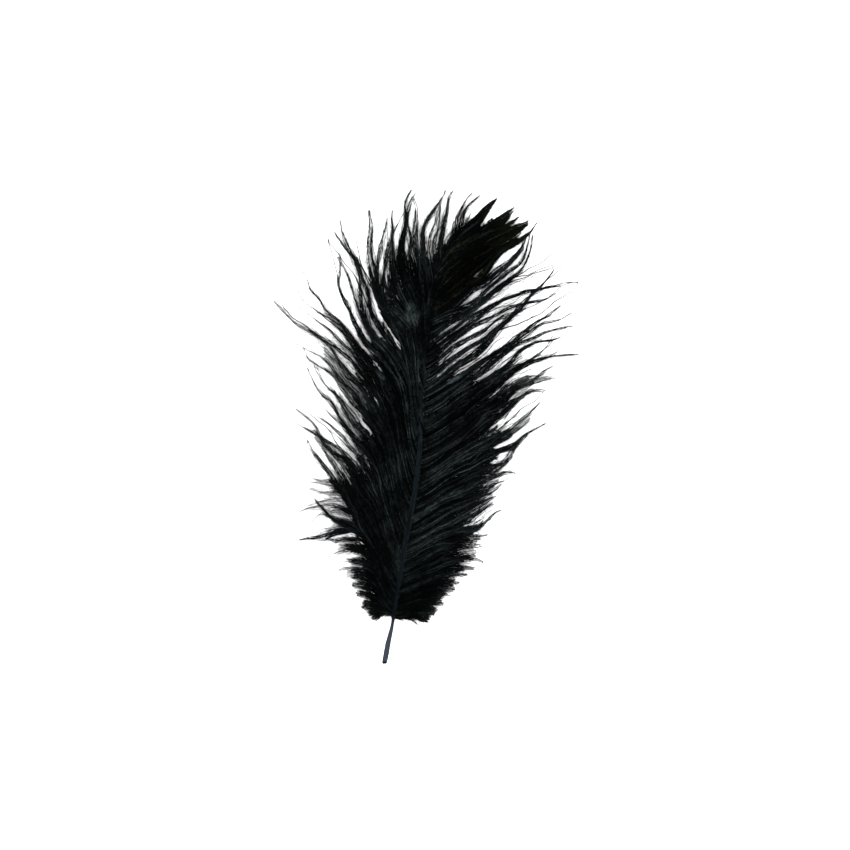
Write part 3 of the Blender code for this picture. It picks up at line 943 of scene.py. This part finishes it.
    def stray_barbs(self, side: Side, guides: list[Barb], rng: np.random.Generator) -> list[Barb]:
        """Grow the fine single barbs that wander between the locks.

        Args:
            side: The side they grow on.
            guides: The middle barb of each lock, in order along the shaft.
            rng: The group's own random numbers.

        Returns:
            The barbs.
        """
        barbs = []
        share_along = np.linspace(0, 1, CURVE_POINTS)
        for spot in rng.uniform(-0.3, len(guides) - 0.7, self.wisps[side]):
            course, root_height = self.between(guides, spot)
            course = shortened(course, min(rng.uniform(0.76, 1.04), 1.0))
            across = unit(np.gradient(course, axis=0))[:, ::-1] * (-1, 1)
            course = course + across * (rng.normal(0, self.DRIFT) * share_along**2)[:, None]
            course = self.waved(course, self.stray.value.waver, rng.random((len(self.WAVES), 2)))
            tip = self.tip_height * rng.uniform(0.3, 1.2)
            lift = rng.uniform(0.0, 1.3) * self.lift
            course = self.raised(course, root_height + self.STRAY_ROOT, tip, lift, self.stray)
            hidden = self.COARSE_STRAY_TO * full_to(side, course[0, 1])
            barbs.append(Barb(course, self.stray.value, rng.uniform(0.2, 0.95), hidden))
        return barbs

    def waved(self, course: np.ndarray, waver: float, beat: np.ndarray) -> np.ndarray:
        """Let a level course waver sideways, more towards its tip.

        Args:
            course: Rows of x and y.
            waver: How far it strays.
            beat: For each wave, its phase and how stretched it is, both from 0 to 1.

        Returns:
            The wavering course.
        """
        length = run_lengths(course)[-1]
        run = np.linspace(0, length, len(course))
        side = unit(np.gradient(course, axis=0))[:, ::-1] * (-1, 1)
        sway = np.zeros(len(course))
        for (wave, size), (phase, stretch) in zip(self.WAVES, beat):
            sway += size * np.sin(2 * math.pi * (run / (wave * (0.8 + 0.4 * stretch)) + phase))
        grown = np.clip(run / length * self.WAVES_GROW, 0, 1)
        return course + side * (waver * sway * grown)[:, None]

    @staticmethod
    def raised(course: np.ndarray, root: float, tip: float, lift: float, build: Build) -> np.ndarray:
        """Give a level course its heights.

        Args:
            course: Rows of x and y.
            root: Height at the shaft.
            tip: Height at the tip.
            lift: How far it arches up in between, or sags where it is negative.
            build: The kind of barb.

        Returns:
            The course, as rows of x, y and z.
        """
        share = np.linspace(0, 1, len(course))
        height = root + (tip - root) * share**0.9 + lift * np.sin(math.pi * share**0.8)
        # No lower than its barbules, which lean out and down, leave room for
        low = FLOOR_CLEARANCE + 0.4 * build.value.length * math.sin(math.radians(build.value.lean))
        return np.column_stack((course, np.maximum(height, low)))


@dataclass
class Shaft:
    """The hollow quill and the rachis that it becomes, in one piece from cut end to tip.

    Fields: sides is how many faces go round it, flatness its height as a share of its
    width, ridge how far the line along its top stands up and groove how deep the one below
    is, both as shares of the half width, slant the angle of the cut, wall the bore's share
    of the width at the cut, taper that which is left of it at its end, bore how deep it goes,
    lip the share of that depth which its first ring of faces takes, spare the length that the
    slanting cut takes away, cut_at how far up the cut crosses the middle line, and crease the
    angle past which an edge stays sharp.
    """

    name: str = "quill_and_rachis"
    sides: int = 20
    flatness: float = 0.84
    ridge: float = 0.22
    groove: float = 0.28
    slant: float = 42.0
    wall: float = 0.74
    taper: float = 0.7
    bore: float = 9.0
    lip: float = 0.15
    spare: float = 1.6
    cut_at: float = 0.4
    crease: float = 50.0
    piece: bpy.types.Object | None = field(default=None, init=False)

    def build(self, spine: Spine) -> bpy.types.Object:
        """Draw the shaft out of one ring, cut its end and open it.

        Args:
            spine: The middle line of the shaft.

        Returns:
            The finished piece.
        """
        line = spine.line
        self.start_ring(line)
        self.draw_out(line)
        self.cut_end(line)
        bpy.ops.object.mode_set(mode="OBJECT")
        self.piece = bpy.context.object
        self.piece.name = self.name
        self.piece.data.name = self.name
        bpy.ops.object.transform_apply(location=True, rotation=True, scale=True)
        bpy.ops.object.shade_smooth_by_angle(angle=math.radians(self.crease))
        self.mark_grain(line)
        LOG.info("%s: %d faces", self.name, len(self.piece.data.polygons))
        return self.piece

    def start_ring(self, line: np.ndarray) -> None:
        """Make the first ring, a flattened circle with a ridge on top and a groove below.

        Args:
            line: The middle line, as rows of x, y, height and width.
        """
        x, y, z, width = line[0]
        bpy.ops.mesh.primitive_circle_add(
            vertices=self.sides, radius=width / 2 * MM, rotation=(math.pi / 2, 0, 0),
            location=(x * MM, (y - self.spare) * MM, z * MM))
        bpy.ops.object.transform_apply(location=True, rotation=True, scale=True)
        bpy.ops.object.mode_set(mode="EDIT")
        place = Vector((x, y - self.spare, z)) * MM
        bpy.ops.transform.resize(value=(1, 1, self.flatness), center_override=place)
        for top, move in ((True, self.ridge), (False, self.groove)):
            self.select_extreme(top)
            bpy.ops.transform.translate(value=(0, 0, move * width / 2 * MM))
        bpy.ops.mesh.select_all(action="SELECT")

    def select_extreme(self, top: bool) -> None:
        """Select only one vertex of the ring.

        Args:
            top: True for the highest one, false for the lowest.
        """
        mesh = bpy.context.object.data
        bpy.ops.mesh.select_all(action="DESELECT")
        bpy.ops.object.mode_set(mode="OBJECT")
        order = sorted(mesh.vertices, key=lambda vertex: vertex.co.z)
        order[-1 if top else 0].select = True
        bpy.ops.object.mode_set(mode="EDIT")

    def draw_out(self, line: np.ndarray) -> None:
        """Extrude the ring along the line, turned and scaled at every step, to a closed tip.

        Args:
            line: The middle line, as rows of x, y, height and width.
        """
        place = Vector(line[0, :3]) * MM - Vector((0, self.spare * MM, 0))
        heading, width = 0.0, line[0, 3]
        for i in range(1, len(line)):
            target = Vector(line[i, :3]) * MM
            bpy.ops.mesh.extrude_region_move(TRANSFORM_OT_translate={"value": target - place})
            step = line[min(i + 1, len(line) - 1)] - line[i - 1]
            turn = math.atan2(-step[0], step[1])
            scale = line[i, 3] / width
            bpy.ops.transform.resize(value=(scale, scale, scale), center_override=target)
            bpy.ops.transform.rotate(value=heading - turn, orient_axis="Z", center_override=target)
            place, heading, width = target, turn, line[i, 3]
        onward = Vector((math.sin(-heading), math.cos(heading), -0.1)) * MM
        bpy.ops.mesh.extrude_region_move(TRANSFORM_OT_translate={"value": onward})
        bpy.ops.mesh.merge(type="CENTER")

    def cut_end(self, line: np.ndarray) -> None:
        """Cut the low end on a slant and sink the bore into it.

        Args:
            line: The middle line, as rows of x, y, height and width.
        """
        x, y, z = line[0, :3]
        tilt = math.radians(self.slant)
        point = Vector((x, y + self.cut_at, z)) * MM
        bpy.ops.mesh.select_all(action="SELECT")
        bpy.ops.mesh.bisect(
            plane_co=point, plane_no=(0, math.cos(tilt), -math.sin(tilt)), clear_inner=True)
        bpy.ops.mesh.select_all(action="DESELECT")
        bpy.ops.mesh.select_non_manifold(
            extend=False, use_wire=False, use_multi_face=False, use_non_contiguous=False,
            use_verts=False)
        along = Vector(line[SPAN_STEPS // 2, :3] - line[0, :3]).normalized()
        bpy.ops.mesh.extrude_region_move()
        bpy.ops.transform.resize(value=(self.wall, self.wall, self.wall), center_override=point)
        for share in (self.lip, 1 - self.lip):
            deeper = along * self.bore * share * MM
            bpy.ops.mesh.extrude_region_move(TRANSFORM_OT_translate={"value": deeper})
        end = point + along * self.bore * MM
        bpy.ops.transform.resize(value=(self.taper, self.taper, self.taper), center_override=end)
        bpy.ops.mesh.edge_face_add()

    def mark_grain(self, line: np.ndarray) -> None:
        """Store where each vertex is, seen from the middle line.

        It is stored across the line in half widths, along it in millimetres, and above it in
        half widths.

        Args:
            line: The middle line, as rows of x, y, height and width.
        """
        mesh = self.piece.data
        places = np.empty(len(mesh.vertices) * 3, np.float32)
        mesh.vertices.foreach_get("co", places)
        places = places.reshape(-1, 3) / MM
        runs = run_lengths(line[:, :3])
        spots = []
        for place in places:
            near = int(np.argmin(np.linalg.norm(line[:, :3] - place, axis=1)))
            before, after = line[max(near - 1, 0), :2], line[min(near + 1, len(line) - 1), :2]
            ahead = unit(after - before)
            offset = place[:2] - line[near, :2]
            half = line[near, 3] / 2
            spots.append((
                (offset[0] * ahead[1] - offset[1] * ahead[0]) / half,
                runs[near] + float(offset @ ahead),
                (place[2] - line[near, 2]) / half,
            ))
        grain = mesh.attributes.new("grain", "FLOAT_VECTOR", "POINT")
        grain.data.foreach_set("vector", np.array(spots, np.float32).ravel())


class NodeKit:
    """A short way to place and join shader nodes in one tree."""

    FIRST_COLOR, SECOND_COLOR, MIXED_COLOR = 6, 7, 2  # two inputs and the output of a mix node

    def __init__(self, tree: bpy.types.NodeTree) -> None:
        """Work in one tree."""
        self.tree = tree

    def put(
        self, kind: str, inputs: dict[str | int, object] | None = None, **settings: object,
    ) -> bpy.types.Node:
        """Place a node.

        Args:
            kind: Its type.
            inputs: A value or an output to join for each input that isn't left as it is.
            settings: Its own settings.

        Returns:
            The node.
        """
        node = self.tree.nodes.new(kind)
        for key, value in settings.items():
            setattr(node, key, value)
        for key, value in (inputs or {}).items():
            if isinstance(value, bpy.types.NodeSocket):
                self.tree.links.new(value, node.inputs[key])
            else:
                node.inputs[key].default_value = value
        return node

    def math(self, operation: str, first: object, second: object = 0.5) -> bpy.types.NodeSocket:
        """The result of one sum on two values, each a number or an output."""
        return self.put("ShaderNodeMath", {0: first, 1: second}, operation=operation).outputs[0]

    def spread(
        self, value: bpy.types.NodeSocket, low: float, high: float,
        to_low: float = 0.0, to_high: float = 1.0,
    ) -> bpy.types.NodeSocket:
        """A value with the range from low to high stretched to another range, and kept in it."""
        inputs = {"Value": value, "From Min": low, "From Max": high, "To Min": to_low, "To Max": to_high}
        return self.put("ShaderNodeMapRange", inputs).outputs["Result"]

    def blend(self, share: object, first: object, second: object) -> bpy.types.NodeSocket:
        """A colour between two, by a share."""
        inputs = {"Factor": share, self.FIRST_COLOR: first, self.SECOND_COLOR: second}
        return self.put("ShaderNodeMix", inputs, data_type="RGBA").outputs[self.MIXED_COLOR]


def uneven_dye_and_sheen() -> bpy.types.NodeTree:
    """Make the group that every dyed surface shares: dye that took better in some places, and painted
    sheen on the barbs.

    Returns:
        The group. It blends two colours in soft patches and fine streaks at a given place.
    """
    group = bpy.data.node_groups.new("uneven_dye_and_sheen", "ShaderNodeTree")
    for name, kind, value in (
        ("Place", "NodeSocketVector", None),
        ("Deep", "NodeSocketColor", (0.004, 0.004, 0.004, 1)),
        ("Lighter", "NodeSocketColor", (0.03, 0.03, 0.03, 1)),
        ("Patches", "NodeSocketFloat", 60.0),
        ("Streaks", "NodeSocketFloat", 900.0),
        ("Tone", "NodeSocketFloat", 0.5),
    ):
        socket = group.interface.new_socket(name, in_out="INPUT", socket_type=kind)
        if value is not None:
            socket.default_value = value
    group.interface.new_socket("Color", in_out="OUTPUT", socket_type="NodeSocketColor")
    group.interface.new_socket("Fading", in_out="OUTPUT", socket_type="NodeSocketFloat")
    kit = NodeKit(group)
    given = kit.put("NodeGroupInput").outputs
    patches, streaks = (
        kit.put("ShaderNodeTexNoise", {
            "Vector": given["Place"], "Scale": given[name], "Detail": detail, "Roughness": rough})
        for name, detail, rough in (("Patches", 3.0, 0.6), ("Streaks", 2.0, 0.5))
    )
    soft = kit.spread(patches.outputs["Fac"], 0.42, 0.72)
    fine = kit.spread(streaks.outputs["Fac"], 0.35, 0.75)
    tone = kit.math("POWER", given["Tone"], 2.5)
    streaky = kit.math("ADD", soft, kit.math("MULTIPLY", fine, 0.5))
    lightness = kit.math("MULTIPLY", tone, streaky)
    lightness = kit.math("MINIMUM", lightness, 1.0)
    color = kit.blend(lightness, given["Deep"], given["Lighter"])
    kit.put("NodeGroupOutput", {"Color": color, "Fading": lightness})
    return group


@dataclass(frozen=True)
class BarbDye:
    """The finish of dyed barbs: near black, slate where dye is thin and where sheen is painted, duller at
    the tips.

    Fields: deep is the colour where the dye took best, lighter that where it took least and
    where sheen is painted, tip that of the ends of barbs, pale_spots the lighter patches of
    painted sheen and thinner dye, as in PALE_SPOTS, patches how many soft patches there are in
    a metre, and gloss the strength of the reflection.
    """

    name: str
    deep: Color
    lighter: Color
    tip: Color
    pale_spots: tuple[tuple[float, ...], ...] = ()
    patches: float = 70.0
    gloss: float = 0.003

    def material(self, dye: bpy.types.NodeTree) -> bpy.types.Material:
        """Make the material.

        Args:
            dye: The shared group of uneven dye and painted sheen.

        Returns:
            The material.
        """
        material, kit, surface = new_material(self.name)
        place = kit.put("ShaderNodeTexCoord").outputs["Object"]
        tone, run, barbule = (
            kit.put("ShaderNodeAttribute", attribute_name=label).outputs["Fac"]
            for label in ("tone", "run", "barbule"))
        # Painted sheen and thinner dye: the threads take more of the lighter colour than their barbules
        thin_dye_and_sheen = kit.math("MULTIPLY", tone, kit.spread(barbule, 0.0, 0.5, 1.0, 0.55))
        # The pale spots are painted lighter, partly as painted sheen and partly as thinner dye
        spot_strength = kit.spread(tone, 0.0, 1.0, 0.55, 1.5)
        for x, y, half_width, half_length, lean in self.pale_spots:
            local = kit.put("ShaderNodeMapping", {
                "Vector": place,
                "Location": (x * MM, y * MM, 0),
                "Rotation": (0, 0, math.radians(lean)),
                "Scale": (half_width * MM, half_length * MM, 1),
            }, vector_type="TEXTURE").outputs[0]
            away = kit.put("ShaderNodeVectorMath", {0: local}, operation="LENGTH").outputs["Value"]
            spot = kit.math("MULTIPLY", spot_strength, kit.spread(away, 1.0, 0.5))
            thin_dye_and_sheen = kit.math("MAXIMUM", thin_dye_and_sheen, spot)
        dyed = kit.put("ShaderNodeGroup", node_tree=dye)
        for key, value in (("Place", place), ("Tone", thin_dye_and_sheen)):
            kit.tree.links.new(value, dyed.inputs[key])
        dyed.inputs["Deep"].default_value = (*self.deep, 1)
        dyed.inputs["Lighter"].default_value = (*self.lighter, 1)
        dyed.inputs["Patches"].default_value = self.patches
        towards_tip = kit.spread(run, 0.68, 1.0)
        outer = kit.math("MULTIPLY", towards_tip, kit.spread(barbule, 0.0, 1.0, 0.6, 1.0))
        color = kit.blend(outer, dyed.outputs["Color"], (*self.tip, 1))
        rough = kit.spread(dyed.outputs["Fading"], 0.0, 1.0, 0.62, 0.42)
        kit.tree.links.new(color, surface.inputs["Base Color"])
        kit.tree.links.new(rough, surface.inputs["Roughness"])
        surface.inputs["Specular IOR Level"].default_value = self.gloss
        return material


@dataclass(frozen=True)
class KeratinDye:
    """The finish of the dyed shaft: slate, satin, with fine grain along it, and painted highlight lines
    beside the ridge.

    Fields: deep and lighter are the colours where the dye took best and least, flank_highlight
    that of the two painted highlight lines beside the ridge, quill that of the uncovered end,
    painted stronger on its upper side as if lit, grain_length how much the grain is stretched
    along the shaft, patches and streaks how fine it is, and gloss the strength of the reflection.
    """

    name: str = "dyed_shaft_keratin"
    deep: Color = (0.0003, 0.0006, 0.0007)
    lighter: Color = (0.0045, 0.0068, 0.0084)
    flank_highlight: Color = (0.0042, 0.0060, 0.0078)
    quill: Color = (0.017, 0.020, 0.027)
    grain_length: float = 0.055
    patches: float = 1.6
    streaks: float = 7.0
    gloss: float = 0.01

    def material(self, dye: bpy.types.NodeTree) -> bpy.types.Material:
        """Make the material.

        Args:
            dye: The shared group of uneven dye and painted sheen.

        Returns:
            The material.
        """
        material, kit, surface = new_material(self.name)
        grain = kit.put("ShaderNodeAttribute", attribute_name="grain").outputs["Vector"]
        across, along, above = kit.put("ShaderNodeSeparateXYZ", {0: grain}).outputs
        stretched = kit.math("MULTIPLY", along, self.grain_length)
        place = kit.put("ShaderNodeCombineXYZ", {0: across, 1: stretched, 2: above}).outputs[0]
        dyed = kit.put("ShaderNodeGroup", node_tree=dye)
        kit.tree.links.new(place, dyed.inputs["Place"])
        kit.tree.links.new(kit.spread(along, 30.0, 110.0, 0.7, 1.1), dyed.inputs["Tone"])
        dyed.inputs["Deep"].default_value = (*self.deep, 1)
        dyed.inputs["Lighter"].default_value = (*self.lighter, 1)
        dyed.inputs["Patches"].default_value = self.patches
        dyed.inputs["Streaks"].default_value = self.streaks
        # Two painted highlight lines along the flanks beside the ridge
        far_out = kit.math("ABSOLUTE", across)
        highlight_lines = kit.math("MULTIPLY", kit.spread(far_out, 0.35, 0.6), kit.spread(far_out, 0.95, 0.7))
        color = kit.blend(kit.math("MULTIPLY", highlight_lines, 0.8), dyed.outputs["Color"], (*self.flank_highlight, 1))
        # The uncovered quill end keeps its own lighter colour, painted stronger on its upper side as if
        # lit
        lit_side = kit.spread(above, -0.4, 0.8, 0.25, 1.0)
        bare_lit_quill = kit.math("MULTIPLY", kit.spread(along, 21.0, 15.0), lit_side)
        color = kit.blend(bare_lit_quill, color, (*self.quill, 1))
        rough = kit.spread(dyed.outputs["Fading"], 0.0, 1.0, 0.36, 0.52)
        bump = kit.put("ShaderNodeBump", {
            "Strength": 0.35, "Distance": 0.0001, "Height": dyed.outputs["Fading"]})
        kit.tree.links.new(color, surface.inputs["Base Color"])
        kit.tree.links.new(rough, surface.inputs["Roughness"])
        kit.tree.links.new(bump.outputs["Normal"], surface.inputs["Normal"])
        surface.inputs["Specular IOR Level"].default_value = self.gloss
        return material


class Dye(Enum):
    """The finishes that barbs on this plume have."""

    # The lighter colour of each is partly thinner dye and partly painted sheen; on the tip barbs it is
    # olive, a painted highlight tint
    DOWN = BarbDye(
        "dyed_down", deep=(0.0003, 0.0004, 0.0004), lighter=(0.0170, 0.0240, 0.0255),
        tip=(0.0060, 0.0070, 0.0068))
    STRAND = BarbDye(
        "dyed_barbs", deep=(0.0003, 0.0004, 0.0004), lighter=(0.0320, 0.0420, 0.0440),
        tip=(0.0100, 0.0120, 0.0115), pale_spots=PALE_SPOTS)
    TIP = BarbDye(
        "dyed_tip_barbs", deep=(0.0003, 0.0004, 0.0003), lighter=(0.0200, 0.0240, 0.0160),
        tip=(0.0040, 0.0045, 0.0030))


def new_material(name: str) -> tuple[bpy.types.Material, NodeKit, bpy.types.Node]:
    """Start a material with one surface shader.

    Args:
        name: The name of the finish.

    Returns:
        The material, a kit for its nodes, and its surface shader.
    """
    material = bpy.data.materials.new(name)
    material.use_nodes = True
    return material, NodeKit(material.node_tree), material.node_tree.nodes["Principled BSDF"]


@dataclass(frozen=True)
class Studio:
    """A pale table, soft light from all round and a camera straight above.

    Fields: floor_size is the table's side, lens and sensor the camera's in millimetres,
    camera_place where it stands, sky the strength of the light from all round, and lamps the
    name, place, size and watts of each lamp.
    """

    floor_size: float = 6.0
    lens: float = 85.0
    sensor: float = 36.0
    camera_place: tuple[float, float, float] = (-0.00063, 0.00105, 0.851)
    sky: float = 1.6
    lamps: tuple[tuple[str, tuple[float, float, float], float, float], ...] = (
        ("overhead_lamp", (-0.05, 0.05, 1.6), 1.0, 46.0),
        ("broad_lamp", (-0.9, 0.8, 1.6), 1.2, 22.0),
        ("fill_lamp", (1.1, -0.7, 1.5), 1.4, 8.0),
    )

    def build(self) -> None:
        """Set up the floor, the lights and the camera."""
        self.build_floor()
        self.build_light()
        self.build_camera()

    def build_floor(self) -> None:
        """Lay the table top, white with a hardly visible mottle."""
        bpy.ops.mesh.primitive_plane_add(size=self.floor_size, location=(0, 0, 0))
        floor = bpy.context.object
        floor.name = "table_top"
        material, kit, surface = new_material("pale_table")
        place = kit.put("ShaderNodeTexCoord").outputs["Object"]
        mottle = kit.put("ShaderNodeTexNoise", {"Vector": place, "Scale": 18.0, "Detail": 4.0})
        color = kit.blend(mottle.outputs["Fac"], (0.93, 0.93, 0.93, 1), (0.90, 0.90, 0.905, 1))
        kit.tree.links.new(color, surface.inputs["Base Color"])
        surface.inputs["Roughness"].default_value = 0.9
        surface.inputs["Specular IOR Level"].default_value = 0.1
        floor.data.materials.append(material)

    def build_light(self) -> None:
        """Light the scene from all round, most of it from almost overhead and the upper left."""
        world = bpy.data.worlds.new("studio")
        bpy.context.scene.world = world
        world.use_nodes = True
        backdrop = world.node_tree.nodes["Background"]
        backdrop.inputs["Color"].default_value = (1, 1, 1, 1)
        backdrop.inputs["Strength"].default_value = self.sky
        for name, place, size, watts in self.lamps:
            lamp = bpy.data.lights.new(name, "AREA")
            lamp.size = size
            lamp.energy = watts
            holder = bpy.data.objects.new(name, lamp)
            holder.location = place
            holder.rotation_euler = (-Vector(place)).to_track_quat("-Z", "Y").to_euler()
            bpy.context.scene.collection.objects.link(holder)
        bpy.context.scene.view_settings.view_transform = "Standard"

    def build_camera(self) -> None:
        """Look straight down from above the middle of the feather."""
        camera = bpy.data.cameras.new("camera")
        camera.lens = self.lens
        camera.sensor_width = self.sensor
        holder = bpy.data.objects.new("camera", camera)
        holder.location = self.camera_place
        bpy.context.scene.collection.objects.link(holder)
        bpy.context.scene.camera = holder


def combed(locks: tuple[Lock, ...]) -> tuple[Lock, ...]:
    """The same locks with sleek barbs for strands."""
    return tuple(
        replace(lock, build=Build.SLEEK) if lock.build is Build.STRAND else lock for lock in locks)


def plumage() -> tuple[tuple[Plumage, Dye], ...]:
    """List the stretches of barbs, each with its dye.

    Returns:
        The stretches, from the base of the feather up on each side, with the crest last.
    """
    left, right = Side.LEFT, Side.RIGHT
    return (
        (Plumage(
            "left_base_down", "left_vane", {left: LEFT_BASE}, under={left: 40}, wisps={left: 34},
            seed=1, stray=Build.HAZE), Dye.DOWN),
        (Plumage(
            "left_lower_barbs", "left_vane", {left: LEFT_LOWER}, under={left: 42}, wisps={left: 56},
            seed=2, stray=Build.HAZE), Dye.STRAND),
        (Plumage(
            "left_upper_barbs", "left_vane", {left: LEFT_UPPER}, under={left: 30}, wisps={left: 32},
            seed=3), Dye.STRAND),
        (Plumage(
            "left_top_barbs", "left_vane", {left: LEFT_TOP}, under={left: 25}, wisps={left: 18},
            seed=9), Dye.STRAND),
        (Plumage(
            "right_base_down", "right_vane", {right: RIGHT_BASE}, under={right: 32},
            wisps={right: 26}, seed=4, stray=Build.HAZE), Dye.DOWN),
        (Plumage(
            "right_lower_barbs", "right_vane", {right: RIGHT_LOWER}, under={right: 54},
            wisps={right: 73}, seed=5), Dye.STRAND),
        (Plumage(
            "right_upper_barbs", "right_vane", {right: combed(RIGHT_UPPER)}, under={right: 24},
            wisps={right: 35}, seed=6), Dye.STRAND),
        (Plumage(
            "tip_plume", "right_vane", {left: TIP_LEFT, right: TIP_RIGHT},
            under={left: 8, right: 16}, wisps={left: 0, right: 0}, seed=7), Dye.TIP),
        (Plumage(
            "crest_barbs", "right_vane", {left: CREST_LEFT, right: CREST_RIGHT},
            under={left: 0, right: 0}, wisps={left: 0, right: 0}, seed=8, lift=1.2,
            tip_height=6.0), Dye.STRAND),
    )


def main() -> None:
    """Build the feather and the studio."""
    logging.basicConfig(level=logging.INFO, format="%(name)s: %(message)s")
    bpy.ops.object.select_all(action="DESELECT")
    uneven = uneven_dye_and_sheen()
    finishes = {dye: dye.value.material(uneven) for dye in Dye}
    spine = Spine()
    piece = Shaft().build(spine)
    piece.data.materials.append(KeratinDye().material(uneven))
    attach(piece, "root")
    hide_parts("shaft")
    for stretch, dye in plumage():
        piece = stretch.build(spine)
        piece.data.materials.append(finishes[dye])
        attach(piece, "root")
        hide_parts(stretch.node)
    Studio().build()


if __name__ == "__main__":
    main()
